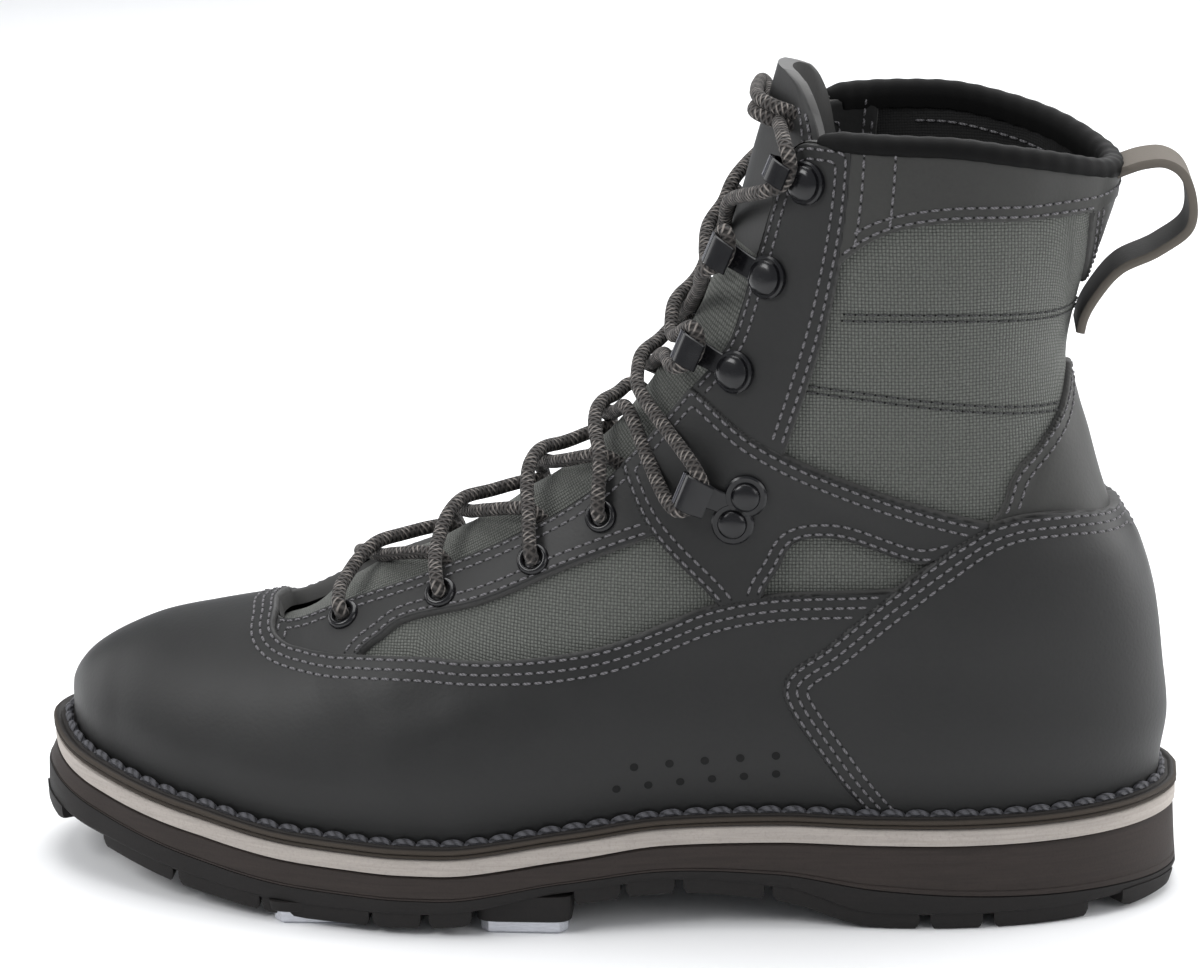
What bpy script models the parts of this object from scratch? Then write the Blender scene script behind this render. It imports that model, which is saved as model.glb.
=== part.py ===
"""Left wading boot, laced, toe towards -X, lateral side towards -Y, standing on z = 0."""

import math

import bmesh
import bpy
import numpy as np
from mathutils import Matrix, Vector

# Driving sizes, in millimetres
SOLE_LENGTH = 322.0
COLLAR_HEIGHT = 221.0
BALL_HALF = 54.0
WELT_WIDTH = 9.2
COVER = 2.2
UPPER_STATIONS = 26
WELT_INNER = 2.8
WALL = 2.4
OVERLAY = 1.6
COUNTER_THICK = 2.0
OVERLAY_GAP = 0.6
STRAP_GAP = 1.1
FIT_GAP = 0.3
BUTT_GAP = 0.8
INSOLE_CLEAR = 3.3
INSOLE_RISE = 3.6
TONGUE_THICK = 3.2
TONGUE_DEPTH = 4.0
TONGUE_BULGE = 2.6
BULGE_OUT = 1.8
LACE_RADIUS = 1.9
EYELET_OUTER = 4.8
EYELET_BORE = 2.7
EYELET_HEIGHT = 1.3
HOOK_DISC = 5.6
HOOK_PLATE = 1.5
HOOK_ARM = 5.2
RIVET_RADIUS = 3.9
RIVET_RISE = 1.7
LOOP_WIDTH = 20.0
LOOP_THICK = 2.4
LUG_HEIGHT = 4.2
LUG_DEPTH = 19.0
BASE_LEAST = 2.6
BAR_LENGTH = 24.0
BAR_WIDTH = 11.0
BAR_HEIGHT = 4.6
BAR_SEAT = 1.2
BINDING_DROP = 3.2

# Ridge of the front and back line, share of length against share of collar height
RIDGE = (
    # along, height
    (0.0124, 0.163), (0.0140, 0.190), (0.0186, 0.222), (0.0280, 0.249),
    (0.0435, 0.2715), (0.0714, 0.296), (0.1056, 0.317), (0.155, 0.335),
    (0.220, 0.3575), (0.261, 0.395), (0.357, 0.459), (0.435, 0.526),
    (0.497, 0.597), (0.534, 0.663), (0.578, 0.762), (0.606, 0.864),
    (0.624, 0.955), (0.643, 1.050), (0.668, 1.186),
)
BACK = (
    # height, along
    (0.100, 0.976), (0.174, 0.978), (0.233, 0.983), (0.301, 0.978),
    (0.369, 0.972), (0.446, 0.957), (0.496, 0.938), (0.587, 0.919),
    (0.692, 0.902), (0.783, 0.913), (0.855, 0.929), (0.905, 0.938),
    (0.950, 0.939), (1.200, 0.941),
)

# Foot half breadths beside the centre line, as shares of the ball half breadth
FOOT = (
    # along, lateral, medial, centre, arch radius
    (0.012, 0.800, 0.760, 0.380, 0.36), (0.037, 0.800, 0.750, 0.310, 0.47),
    (0.053, 0.780, 0.740, 0.280, 0.56), (0.078, 0.752, 0.728, 0.250, 0.66),
    (0.152, 0.754, 0.724, 0.167, 0.80), (0.199, 0.796, 0.728, 0.130, 0.87),
    (0.245, 0.839, 0.750, 0.093, 0.92), (0.289, 0.889, 0.769, 0.075, 0.95),
    (0.335, 0.926, 0.787, 0.056, 0.98), (0.376, 0.926, 0.778, 0.044, 1.01),
    (0.419, 0.893, 0.750, 0.028, 1.03), (0.463, 0.843, 0.704, 0.014, 1.03),
    (0.503, 0.796, 0.657, 0.000, 1.01), (0.543, 0.750, 0.611, 0.000, 0.93),
    (0.587, 0.717, 0.589, 0.000, 0.86), (0.630, 0.700, 0.574, 0.000, 0.80),
    (0.671, 0.691, 0.580, 0.000, 0.84), (0.714, 0.691, 0.598, 0.000, 0.84),
    (0.755, 0.691, 0.626, 0.000, 0.84), (0.811, 0.694, 0.657, 0.000, 0.84),
    (0.981, 0.694, 0.676, 0.000, 0.84),
)
# Shaft half breadth and the roundness of its back, by share of collar height
SHAFT = (
    # height, half, back radius
    (0.100, 0.680, 1.296), (0.270, 0.667, 1.220), (0.385, 0.639, 1.080),
    (0.489, 0.620, 0.960), (0.588, 0.639, 0.870), (0.724, 0.704, 0.850),
    (0.860, 0.759, 0.870), (1.000, 0.796, 0.890), (1.186, 0.815, 0.890),
)
TIP_RADIUS = 1.296
ARCH_POWER = 2.15
BACK_POWER = 2.05

# Where each rib of the upper starts and ends, and the hub it is thrown from
RIBS = (
    # around, foot along, top along, top half, top height, hub from, hub to
    (0.00, 0.0197, 0.211, 0.00, 0.353, (0.177, 0.181), (0.196, 0.199)),
    (0.03, 0.0260, 0.213, 0.10, 0.351, (0.177, 0.181), (0.198, 0.200)),
    (0.08, 0.058, 0.218, 0.22, 0.353, (0.177, 0.181), (0.205, 0.208)),
    (0.14, 0.113, 0.232, 0.29, 0.361, (0.183, 0.181), (0.227, 0.217)),
    (0.22, 0.199, 0.262, 0.34, 0.380, (0.220, 0.181), (0.264, 0.226)),
    (0.30, 0.289, 0.323, 0.37, 0.418, (0.295, 0.181), (0.326, 0.244)),
    (0.38, 0.376, 0.395, 0.38, 0.472, (0.379, 0.181), (0.400, 0.281)),
    (0.46, 0.463, 0.475, 0.39, 0.541, (0.469, 0.190), (0.488, 0.339)),
    (0.53, 0.543, 0.572, 0.43, 0.665, (0.556, 0.190), (0.624, 0.498)),
    (0.58, 0.593, 0.620, 0.47, 0.737, (0.612, 0.190), (0.680, 0.633)),
    (0.62, 0.630, 0.636, 0.51, 0.842, (0.655, 0.181), (0.717, 0.769)),
    (0.66, 0.668, 0.652, 0.54, 0.940, (0.686, 0.181), (0.748, 0.882)),
    (0.685, 0.692, 0.661, 0.57, 0.975, (0.702, 0.181), (0.765, 0.950)),
    (0.70, 0.708, 0.677, 0.62, 0.986, (0.717, 0.181), (0.773, 0.973)),
    (0.73, 0.733, 0.717, 0.70, 0.986, (0.736, 0.181), (0.780, 0.982)),
    (0.78, 0.780, 0.786, 0.76, 0.984, (0.761, 0.181), (0.786, 0.984)),
    (0.84, 0.835, 0.848, 0.70, 0.970, (0.773, 0.181), (0.786, 0.970)),
    (0.90, 0.894, 0.898, 0.54, 0.952, (0.786, 0.181), (0.789, 0.952)),
    (0.95, 0.938, 0.929, 0.30, 0.935, (0.792, 0.181), (0.790, 0.935)),
    (0.98, 0.9615, 0.938, 0.13, 0.930, (0.795, 0.181), (0.792, 0.930)),
    (1.00, 0.9690, 0.940, 0.00, 0.928, (0.795, 0.181), (0.792, 0.928)),
)

# Heights of the sole's layers, as shares of collar height
SOLE = (
    # along, ground, outsole top, wedge top, layer top, welt top
    (0.000, 0.0500, 0.1060, 0.1260, 0.1480, 0.1640),
    (0.065, 0.0340, 0.0820, 0.1060, 0.1270, 0.1430),
    (0.158, 0.0170, 0.0590, 0.0880, 0.1090, 0.1240),
    (0.252, 0.0080, 0.0480, 0.0780, 0.0985, 0.1120),
    (0.360, 0.0080, 0.0430, 0.0715, 0.0920, 0.1055),
    (0.469, 0.0200, 0.0520, 0.0810, 0.1015, 0.1150),
    (0.562, 0.0310, 0.0640, 0.0980, 0.1180, 0.1310),
    (0.655, 0.0260, 0.0620, 0.1020, 0.1225, 0.1360),
    (0.740, 0.0000, 0.0490, 0.1035, 0.1235, 0.1370),
    (0.873, 0.0000, 0.0400, 0.1055, 0.1255, 0.1395),
    (0.940, 0.0030, 0.0370, 0.1070, 0.1270, 0.1415),
    (1.000, 0.0090, 0.0320, 0.1095, 0.1295, 0.1440),
)

# Panel edges seen from the side, along against height
VAMP_EDGE = (
    (0.190, 0.348), (0.204, 0.340), (0.230, 0.333), (0.260, 0.330),
    (0.311, 0.335), (0.354, 0.336), (0.422, 0.339), (0.506, 0.359),
    (0.600, 0.410), (0.650, 0.423), (0.742, 0.430), (0.770, 0.436),
)
WINDOW_TOP = (
    (0.230, 0.337), (0.300, 0.334), (0.315, 0.350), (0.332, 0.368),
    (0.404, 0.398), (0.472, 0.441), (0.550, 0.489), (0.600, 0.520),
)
STRAP_FRONT = ((0.490, 0.640), (0.516, 0.585), (0.545, 0.500), (0.602, 0.412), (0.66, 0.33))
STRAP_TOP = (
    (0.540, 0.690), (0.587, 0.673), (0.640, 0.618), (0.714, 0.566),
    (0.826, 0.513), (0.860, 0.505),
)
STRAP_LOW = (
    (0.580, 0.413), (0.640, 0.420), (0.655, 0.455), (0.668, 0.487),
    (0.700, 0.493), (0.773, 0.462), (0.800, 0.470), (0.860, 0.500),
)
COUNTER_LOW = ((0.648, 0.330), (0.660, 0.295), (0.678, 0.245), (0.722, 0.158), (0.750, 0.10))
COUNTER_TOP = (
    (0.643, 0.290), (0.660, 0.320), (0.688, 0.353), (0.750, 0.429),
    (0.835, 0.513), (0.888, 0.516), (0.953, 0.487), (1.000, 0.480),
)
STAY_EDGE = (
    (0.820, 0.500), (0.838, 0.522), (0.851, 0.571), (0.873, 0.606),
    (0.888, 0.638), (0.898, 0.706), (0.907, 0.800),
)
FACING_EDGE = (
    # height, along
    (0.300, 0.520), (0.635, 0.668), (0.766, 0.696), (0.901, 0.714), (1.000, 0.720),
)
COLLAR_LOW = (
    (0.690, 0.800), (0.702, 0.833), (0.739, 0.877), (0.789, 0.894),
    (0.870, 0.892), (0.960, 0.890),
)

# Lace holders of one side, along, height and kind
HOLDERS = (
    ("eyelet_1", 0.280, 0.362), ("eyelet_2", 0.366, 0.400),
    ("eyelet_3", 0.447, 0.447), ("eyelet_4", 0.506, 0.505),
    ("lock_hook", 0.620, 0.535), ("hook_low", 0.622, 0.700),
    ("hook_high", 0.650, 0.818), ("top_hook", 0.682, 0.936),
)
HOOK_REACH = {"lock_hook": 9.0, "hook_low": 10.0, "hook_high": 11.0, "top_hook": 3.0}

# Heel pull: centre line of the strip, along and height
LOOP_LINE = (
    (0.9415, 0.905), (0.9650, 0.932), (0.9840, 0.930), (0.9960, 0.895),
    (0.9940, 0.850), (0.9700, 0.818), (0.9385, 0.795), (0.9185, 0.765),
    (0.9100, 0.728),
)

# Lugs along each edge: start and end as shares of length
EDGE_LUGS = (
    (0.004, 0.044), (0.056, 0.122), (0.132, 0.204), (0.211, 0.303),
    (0.311, 0.348), (0.360, 0.392), (0.484, 0.518), (0.528, 0.564),
    (0.576, 0.640), (0.652, 0.772), (0.786, 0.826), (0.840, 0.916),
    (0.930, 0.992),
)
MID_LUGS = (
    (0.070, 0.120), (0.140, 0.196), (0.320, 0.372), (0.500, 0.560),
    (0.820, 0.900),
)
# Tread bars: along, lateral share of the half breadth there
BARS = (
    ("bar_front_lateral", 0.257, -0.84), ("bar_front_medial", 0.257, 0.84),
    ("bar_rear_lateral", 0.438, -0.84), ("bar_rear_medial", 0.438, 0.84),
    ("bar_heel", 0.712, 0.0),
)


def x_at(share):
    return (np.asarray(share, float) - 0.5) * SOLE_LENGTH


def z_at(share):
    return np.asarray(share, float) * COLLAR_HEIGHT


def smooth(xs, ys, at):
    """Monotone cubic through the rows."""
    xs = np.asarray(xs, float)
    ys = np.asarray(ys, float)
    at = np.clip(np.asarray(at, float), xs[0], xs[-1])
    step = np.diff(xs)
    slope = np.diff(ys) / step
    turn = np.zeros(len(xs))
    turn[0] = slope[0]
    turn[-1] = slope[-1]
    for i in range(1, len(xs) - 1):
        if slope[i - 1] * slope[i] > 0:
            turn[i] = 2 * slope[i - 1] * slope[i] / (slope[i - 1] + slope[i])
    k = np.clip(np.searchsorted(xs, at, side="right") - 1, 0, len(xs) - 2)
    t = (at - xs[k]) / step[k]
    a = (1 + 2 * t) * (1 - t) ** 2
    b = t * (1 - t) ** 2 * step[k]
    c = t * t * (3 - 2 * t)
    d = t * t * (t - 1) * step[k]
    return a * ys[k] + b * turn[k] + c * ys[k + 1] + d * turn[k + 1]


def column(table, n, scale=1.0):
    return np.array([row[n] for row in table], float) * scale


def edge_height(table, x):
    """Height of a panel edge at x, straight beyond its ends."""
    xs = x_at(column(table, 0))
    zs = z_at(column(table, 1))
    z = smooth(xs, zs, x)
    first = (zs[1] - zs[0]) / (xs[1] - xs[0])
    last = (zs[-1] - zs[-2]) / (xs[-1] - xs[-2])
    return z + np.where(x < xs[0], (x - xs[0]) * first, 0) + np.where(
        x > xs[-1], (x - xs[-1]) * last, 0
    )


def facing_x(z):
    zs = z_at(column(FACING_EDGE, 0))
    return smooth(zs, x_at(column(FACING_EDGE, 1)), z)


RIDGE_X = x_at(column(RIDGE, 0))
RIDGE_Z = z_at(column(RIDGE, 1))
LINE_X = np.unique(np.concatenate([
    np.linspace(a, b, 5) for a, b in zip(RIDGE_X[:-1], RIDGE_X[1:])
]))
LINE_Z = smooth(RIDGE_X, RIDGE_Z, LINE_X)
TOE_TIP = x_at(0.0124) + COVER


def arch(s, power):
    s = np.clip(s, 0.0, 1.0)
    return (1 - (1 - s) ** power) ** (1 / power)


def ramp(a, b, x):
    t = np.clip((x - a) / (b - a), 0.0, 1.0)
    return t * t * (3 - 2 * t)


def line_distance(x, z):
    """Distance to the front line in the side view, positive behind it."""
    ax, az = LINE_X[:-1], LINE_Z[:-1]
    bx, bz = LINE_X[1:] - ax, LINE_Z[1:] - az
    px = x[..., None] - ax
    pz = z[..., None] - az
    t = np.clip((px * bx + pz * bz) / (bx * bx + bz * bz), 0, 1)
    d = np.sqrt((px - t * bx) ** 2 + (pz - t * bz) ** 2).min(axis=-1)
    inside = (z < smooth(LINE_X, LINE_Z, x)) | (x > LINE_X[-1])
    return np.where(inside, d, -d)


def centre_y(x):
    return smooth(x_at(column(FOOT, 0)), column(FOOT, 3, BALL_HALF), x)


def half_breadth(x, z, medial):
    """Half breadth of the upper beside its centre line at a point of the side view."""
    x, z = np.broadcast_arrays(np.asarray(x, float), np.asarray(z, float))
    foot_x = x_at(column(FOOT, 0))
    foot = np.where(
        medial,
        smooth(foot_x, column(FOOT, 2, BALL_HALF), x),
        smooth(foot_x, column(FOOT, 1, BALL_HALF), x),
    )
    tip = TIP_RADIUS * BALL_HALF
    foot = foot * arch((x - TOE_TIP) / tip, 2.0)
    base = feather_z(x)
    foot = foot + BULGE_OUT * ramp(0, 16, z - base) * (1 - ramp(16, 44, z - base))
    levels = z_at(column(SHAFT, 0))
    shaft = smooth(levels, column(SHAFT, 1, BALL_HALF), z)
    full = foot + (shaft - foot) * ramp(55, 118, z)
    flat = smooth(LINE_X, LINE_Z, x) - z
    true = line_distance(x, z)
    front = flat + (true - flat) * ramp(-125, -70, x)
    radius = smooth(foot_x, column(FOOT, 4, BALL_HALF), x)
    back_x = smooth(z_at(column(BACK, 0)), x_at(column(BACK, 1)), z)
    back_r = smooth(levels, column(SHAFT, 2, BALL_HALF), z)
    front_arch = arch((front - COVER) / radius, ARCH_POWER)
    back_arch = arch((back_x - COVER - x) / back_r, BACK_POWER)
    return (full - COVER) * front_arch * back_arch


def sole_z(n, x):
    return smooth(x_at(column(SOLE, 0)), z_at(column(SOLE, n)), x)


def feather_z(x):
    return sole_z(5, x) + FIT_GAP


RIB_U = column(RIBS, 0)


def rib_value(n, u):
    return smooth(RIB_U, column(RIBS, n), u)


def hub_value(n, part, u):
    return smooth(RIB_U, np.array([row[n][part] for row in RIBS]), u)


def surface(around, up):
    """Points of the upper: around runs 0 at the toe, 1 at the heel by the lateral side."""
    around, up = np.broadcast_arrays(np.asarray(around, float), np.asarray(up, float))
    around = (around + 1) % 2 - 1
    medial = around < 0
    side = np.where(medial, 1.0, -1.0)
    u = np.abs(around)
    fx = x_at(rib_value(1, u))
    fz = feather_z(fx)
    fy = side * half_breadth(fx, fz, medial)
    tx = x_at(rib_value(2, u))
    ty = side * rib_value(3, u) * BALL_HALF
    tz = z_at(rib_value(4, u))
    cx = fx + (tx - fx) * up
    cy = fy + (ty - fy) * up
    cz = fz + (tz - fz) * up
    hx0, hz0 = x_at(hub_value(5, 0, u)), z_at(hub_value(5, 1, u))
    hx1, hz1 = x_at(hub_value(6, 0, u)), z_at(hub_value(6, 1, u))
    ox = hx0 + (hx1 - hx0) * up
    oz = hz0 + (hz1 - hz0) * up
    dx, dy, dz = cx - ox, cy, cz - oz
    low = np.zeros_like(cx)
    high = np.full_like(cx, 2.2)
    for _ in range(34):
        mid = (low + high) / 2
        px, py, pz = ox + dx * mid, dy * mid, oz + dz * mid
        inside = half_breadth(px, pz, medial) > np.abs(py) + 1e-6
        low = np.where(inside, mid, low)
        high = np.where(inside, high, mid)
    px, py, pz = ox + dx * low, dy * low, oz + dz * low
    return np.stack([px, py + centre_y(px), pz], axis=-1)


def normal(around, up):
    """Outward normal of the upper."""
    e = 0.004
    du = surface(around + e, up) - surface(around - e, up)
    dv = surface(around, up + e) - surface(around, up - e)
    n = np.cross(du, dv)
    n /= np.linalg.norm(n, axis=-1, keepdims=True)
    return n


def offset_surface(around, up, out):
    p = surface(around, up)
    return p + normal(around, up) * np.asarray(out)[..., None]


def crossing(around, test):
    """Share up each rib where the test first turns positive."""
    around = np.asarray(around, float)
    ups = np.linspace(0.0, 1.0, 81)
    p = surface(around[:, None], ups[None, :])
    f = test(p[..., 0], p[..., 2])
    out = np.ones(len(around))
    for i, row in enumerate(f):
        hit = np.nonzero((row[:-1] <= 0) & (row[1:] > 0))[0]
        if len(hit):
            k = hit[0]
            out[i] = ups[k] + (ups[k + 1] - ups[k]) * row[k] / (row[k] - row[k + 1])
        elif row[0] > 0:
            out[i] = 0.0
    return out


# Meshes
def new_object(name, points, faces):
    mesh = bpy.data.meshes.new(name)
    mesh.from_pydata([tuple(p) for p in np.asarray(points, float) * 0.001], [], faces)
    bm = bmesh.new()
    bm.from_mesh(mesh)
    bmesh.ops.remove_doubles(bm, verts=bm.verts, dist=1e-7)
    bmesh.ops.recalc_face_normals(bm, faces=bm.faces)
    bmesh.ops.triangulate(bm, faces=bm.faces)
    bm.to_mesh(mesh)
    bm.free()
    obj = bpy.data.objects.new(name, mesh)
    bpy.context.scene.collection.objects.link(obj)
    return obj


def rings_body(rings, close_ends=True, wrap=False):
    """Faces that join rings of equal length, with fan or strip ends."""
    count = len(rings[0])
    points = np.concatenate(rings)
    faces = []
    total = len(rings)
    for r in range(total if wrap else total - 1):
        a, b = r * count, ((r + 1) % total) * count
        for i in range(count):
            j = (i + 1) % count
            faces.append((a + i, a + j, b + j, b + i))
    if close_ends and not wrap:
        for base in (0, (total - 1) * count):
            half = count // 2
            for i in range(half):
                left, right = base + i, base + (count - i) % count
                left2, right2 = base + i + 1, base + (count - i - 1) % count
                face = [left, left2, right2, right]
                clean = []
                for f in face:
                    if f not in clean:
                        clean.append(f)
                if len(clean) > 2:
                    faces.append(tuple(clean))
    return points, faces


def tube(path, radius, sides=5):
    """Round cord along a path, closed at both ends."""
    path = np.asarray(path, float)
    along = np.gradient(path, axis=0)
    along /= np.linalg.norm(along, axis=1, keepdims=True)
    ref = np.array([0.0, 0.0, 1.0])
    rings = []
    for p, t in zip(path, along):
        a = np.cross(t, ref)
        a /= np.linalg.norm(a)
        b = np.cross(t, a)
        angle = np.arange(sides) * 2 * math.pi / sides + 0.3
        rings.append(p + radius * (np.cos(angle)[:, None] * a + np.sin(angle)[:, None] * b))
    points = np.concatenate(rings)
    faces = []
    for r in range(len(rings) - 1):
        for i in range(sides):
            j = (i + 1) % sides
            faces.append((r * sides + i, r * sides + j, (r + 1) * sides + j, (r + 1) * sides + i))
    faces.append(tuple(range(sides)))
    faces.append(tuple((len(rings) - 1) * sides + i for i in range(sides)))
    return points, faces


def boolean(target, other, operation, crossed=False):
    mod = target.modifiers.new("cut", "BOOLEAN")
    mod.operation = operation
    mod.solver = "EXACT"
    mod.use_self = crossed
    mod.object = other
    bpy.context.view_layer.update()
    graph = bpy.context.evaluated_depsgraph_get()
    mesh = bpy.data.meshes.new_from_object(target.evaluated_get(graph))
    target.modifiers.clear()
    target.data = mesh
    bpy.data.objects.remove(other)
    return target


def ring_stations(count):
    """Stations around the boot: toe, lateral side, heel, medial side."""
    t = np.linspace(0, 1, count + 1)
    u = smooth((0, 0.10, 0.25, 0.5, 0.75, 0.9, 1), (0, 0.06, 0.2, 0.52, 0.76, 0.92, 1), t)
    return np.concatenate([u, -u[-2:0:-1]])


def outline(count, out):
    """Plan ring of the feather edge, moved outward."""
    u = ring_stations(count)
    p = surface(u, np.zeros_like(u))[:, :2]
    d = np.roll(p, -1, axis=0) - np.roll(p, 1, axis=0)
    n = np.stack([-d[:, 1], d[:, 0]], axis=1)
    n /= np.linalg.norm(n, axis=1, keepdims=True)
    if (n[0] @ np.array([-1.0, 0.0])) < 0:
        n = -n
    return p + n * out


def sole_ring(count, out, level, lift=0.0):
    p = outline(count, out)
    return np.column_stack([p, sole_z(level, p[:, 0]) + lift])


def base_under(x):
    """Underside of the outsole between the lugs."""
    return np.minimum(sole_z(1, x) + LUG_HEIGHT, sole_z(2, x) - BASE_LEAST)


def base_ring(count, out, rise):
    p = outline(count, out)
    return np.column_stack([p, base_under(p[:, 0]) + rise])


def slab(name, rings):
    points, faces = rings_body(rings)
    return new_object(name, points, faces)


def stations(u0, u1, least):
    """The upper's own stations between two places, doubled until there are enough."""
    own = ring_stations(UPPER_STATIONS)
    own = np.sort(np.concatenate([own - 2, own, own + 2]))
    near = 0.25 * float(np.diff(own).mean())
    u = np.concatenate([[u0], own[(own > u0 + near) & (own < u1 - near)], [u1]])
    while len(u) - 1 < least:
        u = np.sort(np.concatenate([u, (u[1:] + u[:-1]) / 2]))
    return u


def band(name, u0, u1, low, high, nu, nv, thick, gap=OVERLAY_GAP):
    """Overlay that follows the upper between two edges."""
    u = stations(u0, u1, nu)
    nu = len(u) - 1
    lo, hi = low(u), high(u)
    hi = np.maximum(hi, lo + 0.012)
    t = np.linspace(0, 1, nv + 1)
    v = lo[:, None] + (hi - lo)[:, None] * t
    uu = np.broadcast_to(u[:, None], v.shape)
    outer = offset_surface(uu, v, np.full(v.shape, gap + thick))
    inner = offset_surface(uu, v, np.full(v.shape, gap))
    n = (nu + 1) * (nv + 1)
    points = np.concatenate([outer.reshape(-1, 3), inner.reshape(-1, 3)])

    def at(i, j, layer):
        return layer * n + i * (nv + 1) + j

    faces = []
    for i in range(nu):
        for j in range(nv):
            faces.append((at(i, j, 0), at(i + 1, j, 0), at(i + 1, j + 1, 0), at(i, j + 1, 0)))
            faces.append((at(i, j, 1), at(i, j + 1, 1), at(i + 1, j + 1, 1), at(i + 1, j, 1)))
    for i in range(nu):
        for j in (0, nv):
            faces.append((at(i, j, 0), at(i + 1, j, 0), at(i + 1, j, 1), at(i, j, 1)))
    for j in range(nv):
        for i in (0, nu):
            faces.append((at(i, j, 0), at(i, j + 1, 0), at(i, j + 1, 1), at(i, j, 1)))
    return new_object(name, points, faces)


def share_gap(u, gap=BUTT_GAP):
    p = surface(u, np.zeros_like(u))
    q = surface(u, np.ones_like(u))
    return gap / np.linalg.norm(q - p, axis=-1)


def vamp_top(u):
    return crossing(u, lambda x, z: np.minimum(x - x_at(0.196), z - edge_height(VAMP_EDGE, x)))


def counter_low(u):
    return crossing(u, lambda x, z: z - edge_height(COUNTER_LOW, x))


def counter_top(u):
    return crossing(u, lambda x, z: z - edge_height(COUNTER_TOP, x))


def strap_top(u):
    return crossing(u, lambda x, z: z - edge_height(STRAP_TOP, x))


def strap_front(u):
    return crossing(u, lambda x, z: z - edge_height(STRAP_FRONT, x))


def strap_low(u):
    return crossing(u, lambda x, z: z - edge_height(STRAP_LOW, x))


def window_top(u):
    return crossing(u, lambda x, z: np.minimum(x - x_at(0.199), z - edge_height(WINDOW_TOP, x)))


def facing_back(u):
    return crossing(u, lambda x, z: facing_x(z) - x)


def collar_low(u):
    return crossing(u, lambda x, z: z - edge_height(COLLAR_LOW, x))


def stay_edge(u):
    return crossing(u, lambda x, z: z - edge_height(STAY_EDGE, x))


def build_upper():
    u = ring_stations(UPPER_STATIONS)
    v = smooth((0, 0.5, 1), (0, 0.47, 1), np.linspace(0, 1, 13))
    outer = [surface(u, np.full_like(u, k)) for k in v]
    inner = [offset_surface(u, np.full_like(u, k), np.full_like(u, -WALL)) for k in v]
    inner[0][:, 2] = outer[0][:, 2]
    points, faces = rings_body(outer + inner[::-1], wrap=True)
    return new_object("upper", points, faces)


def build_sole():
    n = 22
    welt = [
        sole_ring(n, WELT_WIDTH, 4, 2 * FIT_GAP), sole_ring(n, WELT_WIDTH, 5),
        sole_ring(n, -WELT_INNER, 5), sole_ring(n, -WELT_INNER, 4, 2 * FIT_GAP),
    ]
    points, faces = rings_body(welt, wrap=True)
    new_object("welt", points, faces)
    slab("midsole_layer", [
        sole_ring(n, WELT_WIDTH - 0.3, 3, FIT_GAP), sole_ring(n, WELT_WIDTH + 0.1, 4),
    ])
    mid = [
        sole_ring(n, WELT_WIDTH + 0.2, 2, FIT_GAP), sole_ring(n, WELT_WIDTH - 0.9, 3),
    ]
    step = mid[0] * 0.72 + mid[1] * 0.28
    slab("wedge_midsole", [mid[0], step, mid[1]])
    slab("insole", [
        sole_ring(n, -INSOLE_CLEAR, 4, FIT_GAP),
        sole_ring(n, -INSOLE_CLEAR, 5, 0.6),
        sole_ring(n, -INSOLE_CLEAR - 0.8, 5, INSOLE_RISE),
    ])


def width_at(x):
    """Lateral and medial edge of the outsole at x."""
    p = outline(80, WELT_WIDTH)
    half = len(p) // 2
    lat, med = p[: half + 1], np.concatenate([p[half:], p[:1]])[::-1]
    return np.interp(x, lat[:, 0], lat[:, 1]), np.interp(x, med[:, 0], med[:, 1])


def lug(x0, x1, side, depth, middle=False):
    """One lug: its sides taper, its foot follows the ground line."""
    xs = np.linspace(x0, x1, 3 if x1 - x0 > 14 else 2)
    rows = []
    for k, x in enumerate(xs):
        lat, med = width_at(np.array([x]))
        lat, med = float(lat[0]) + 0.9, float(med[0]) - 0.9
        edge = lat if side < 0 else med
        inner = edge - side * depth
        if middle:
            edge, inner = 0.36 * lat, 0.36 * med
        else:
            mid = 0.5 * (lat + med)
            inner = max(inner, mid + 2.5) if side > 0 else min(inner, mid - 2.5)
            edge = max(edge, inner + 3) if side > 0 else min(edge, inner - 3)
        rows.append((x, edge, inner))
    points, faces = [], []
    for k, (x, edge, inner) in enumerate(rows):
        bottom = float(sole_z(1, x))
        top = float(base_under(x)) + 0.9
        end = 0.7 if k == 0 else (-0.7 if k == len(rows) - 1 else 0.0)
        pull = 0.7 if edge > inner else -0.7
        points += [
            (x + end, edge - pull, bottom), (x + end, inner + pull, bottom),
            (x, inner, top), (x, edge, top),
        ]
    for k in range(len(rows) - 1):
        a, b = 4 * k, 4 * k + 4
        for i in range(4):
            j = (i + 1) % 4
            faces.append((a + i, a + j, b + j, b + i))
    faces.append((0, 1, 2, 3))
    end = 4 * (len(rows) - 1)
    faces.append((end, end + 1, end + 2, end + 3))
    return points, faces


def bar_place(along, across):
    x = float(x_at(along))
    lat, med = width_at(np.array([x]))
    half = 0.5 * float(med[0] - lat[0])
    return x, 0.5 * float(med[0] + lat[0]) + across * half


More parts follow.
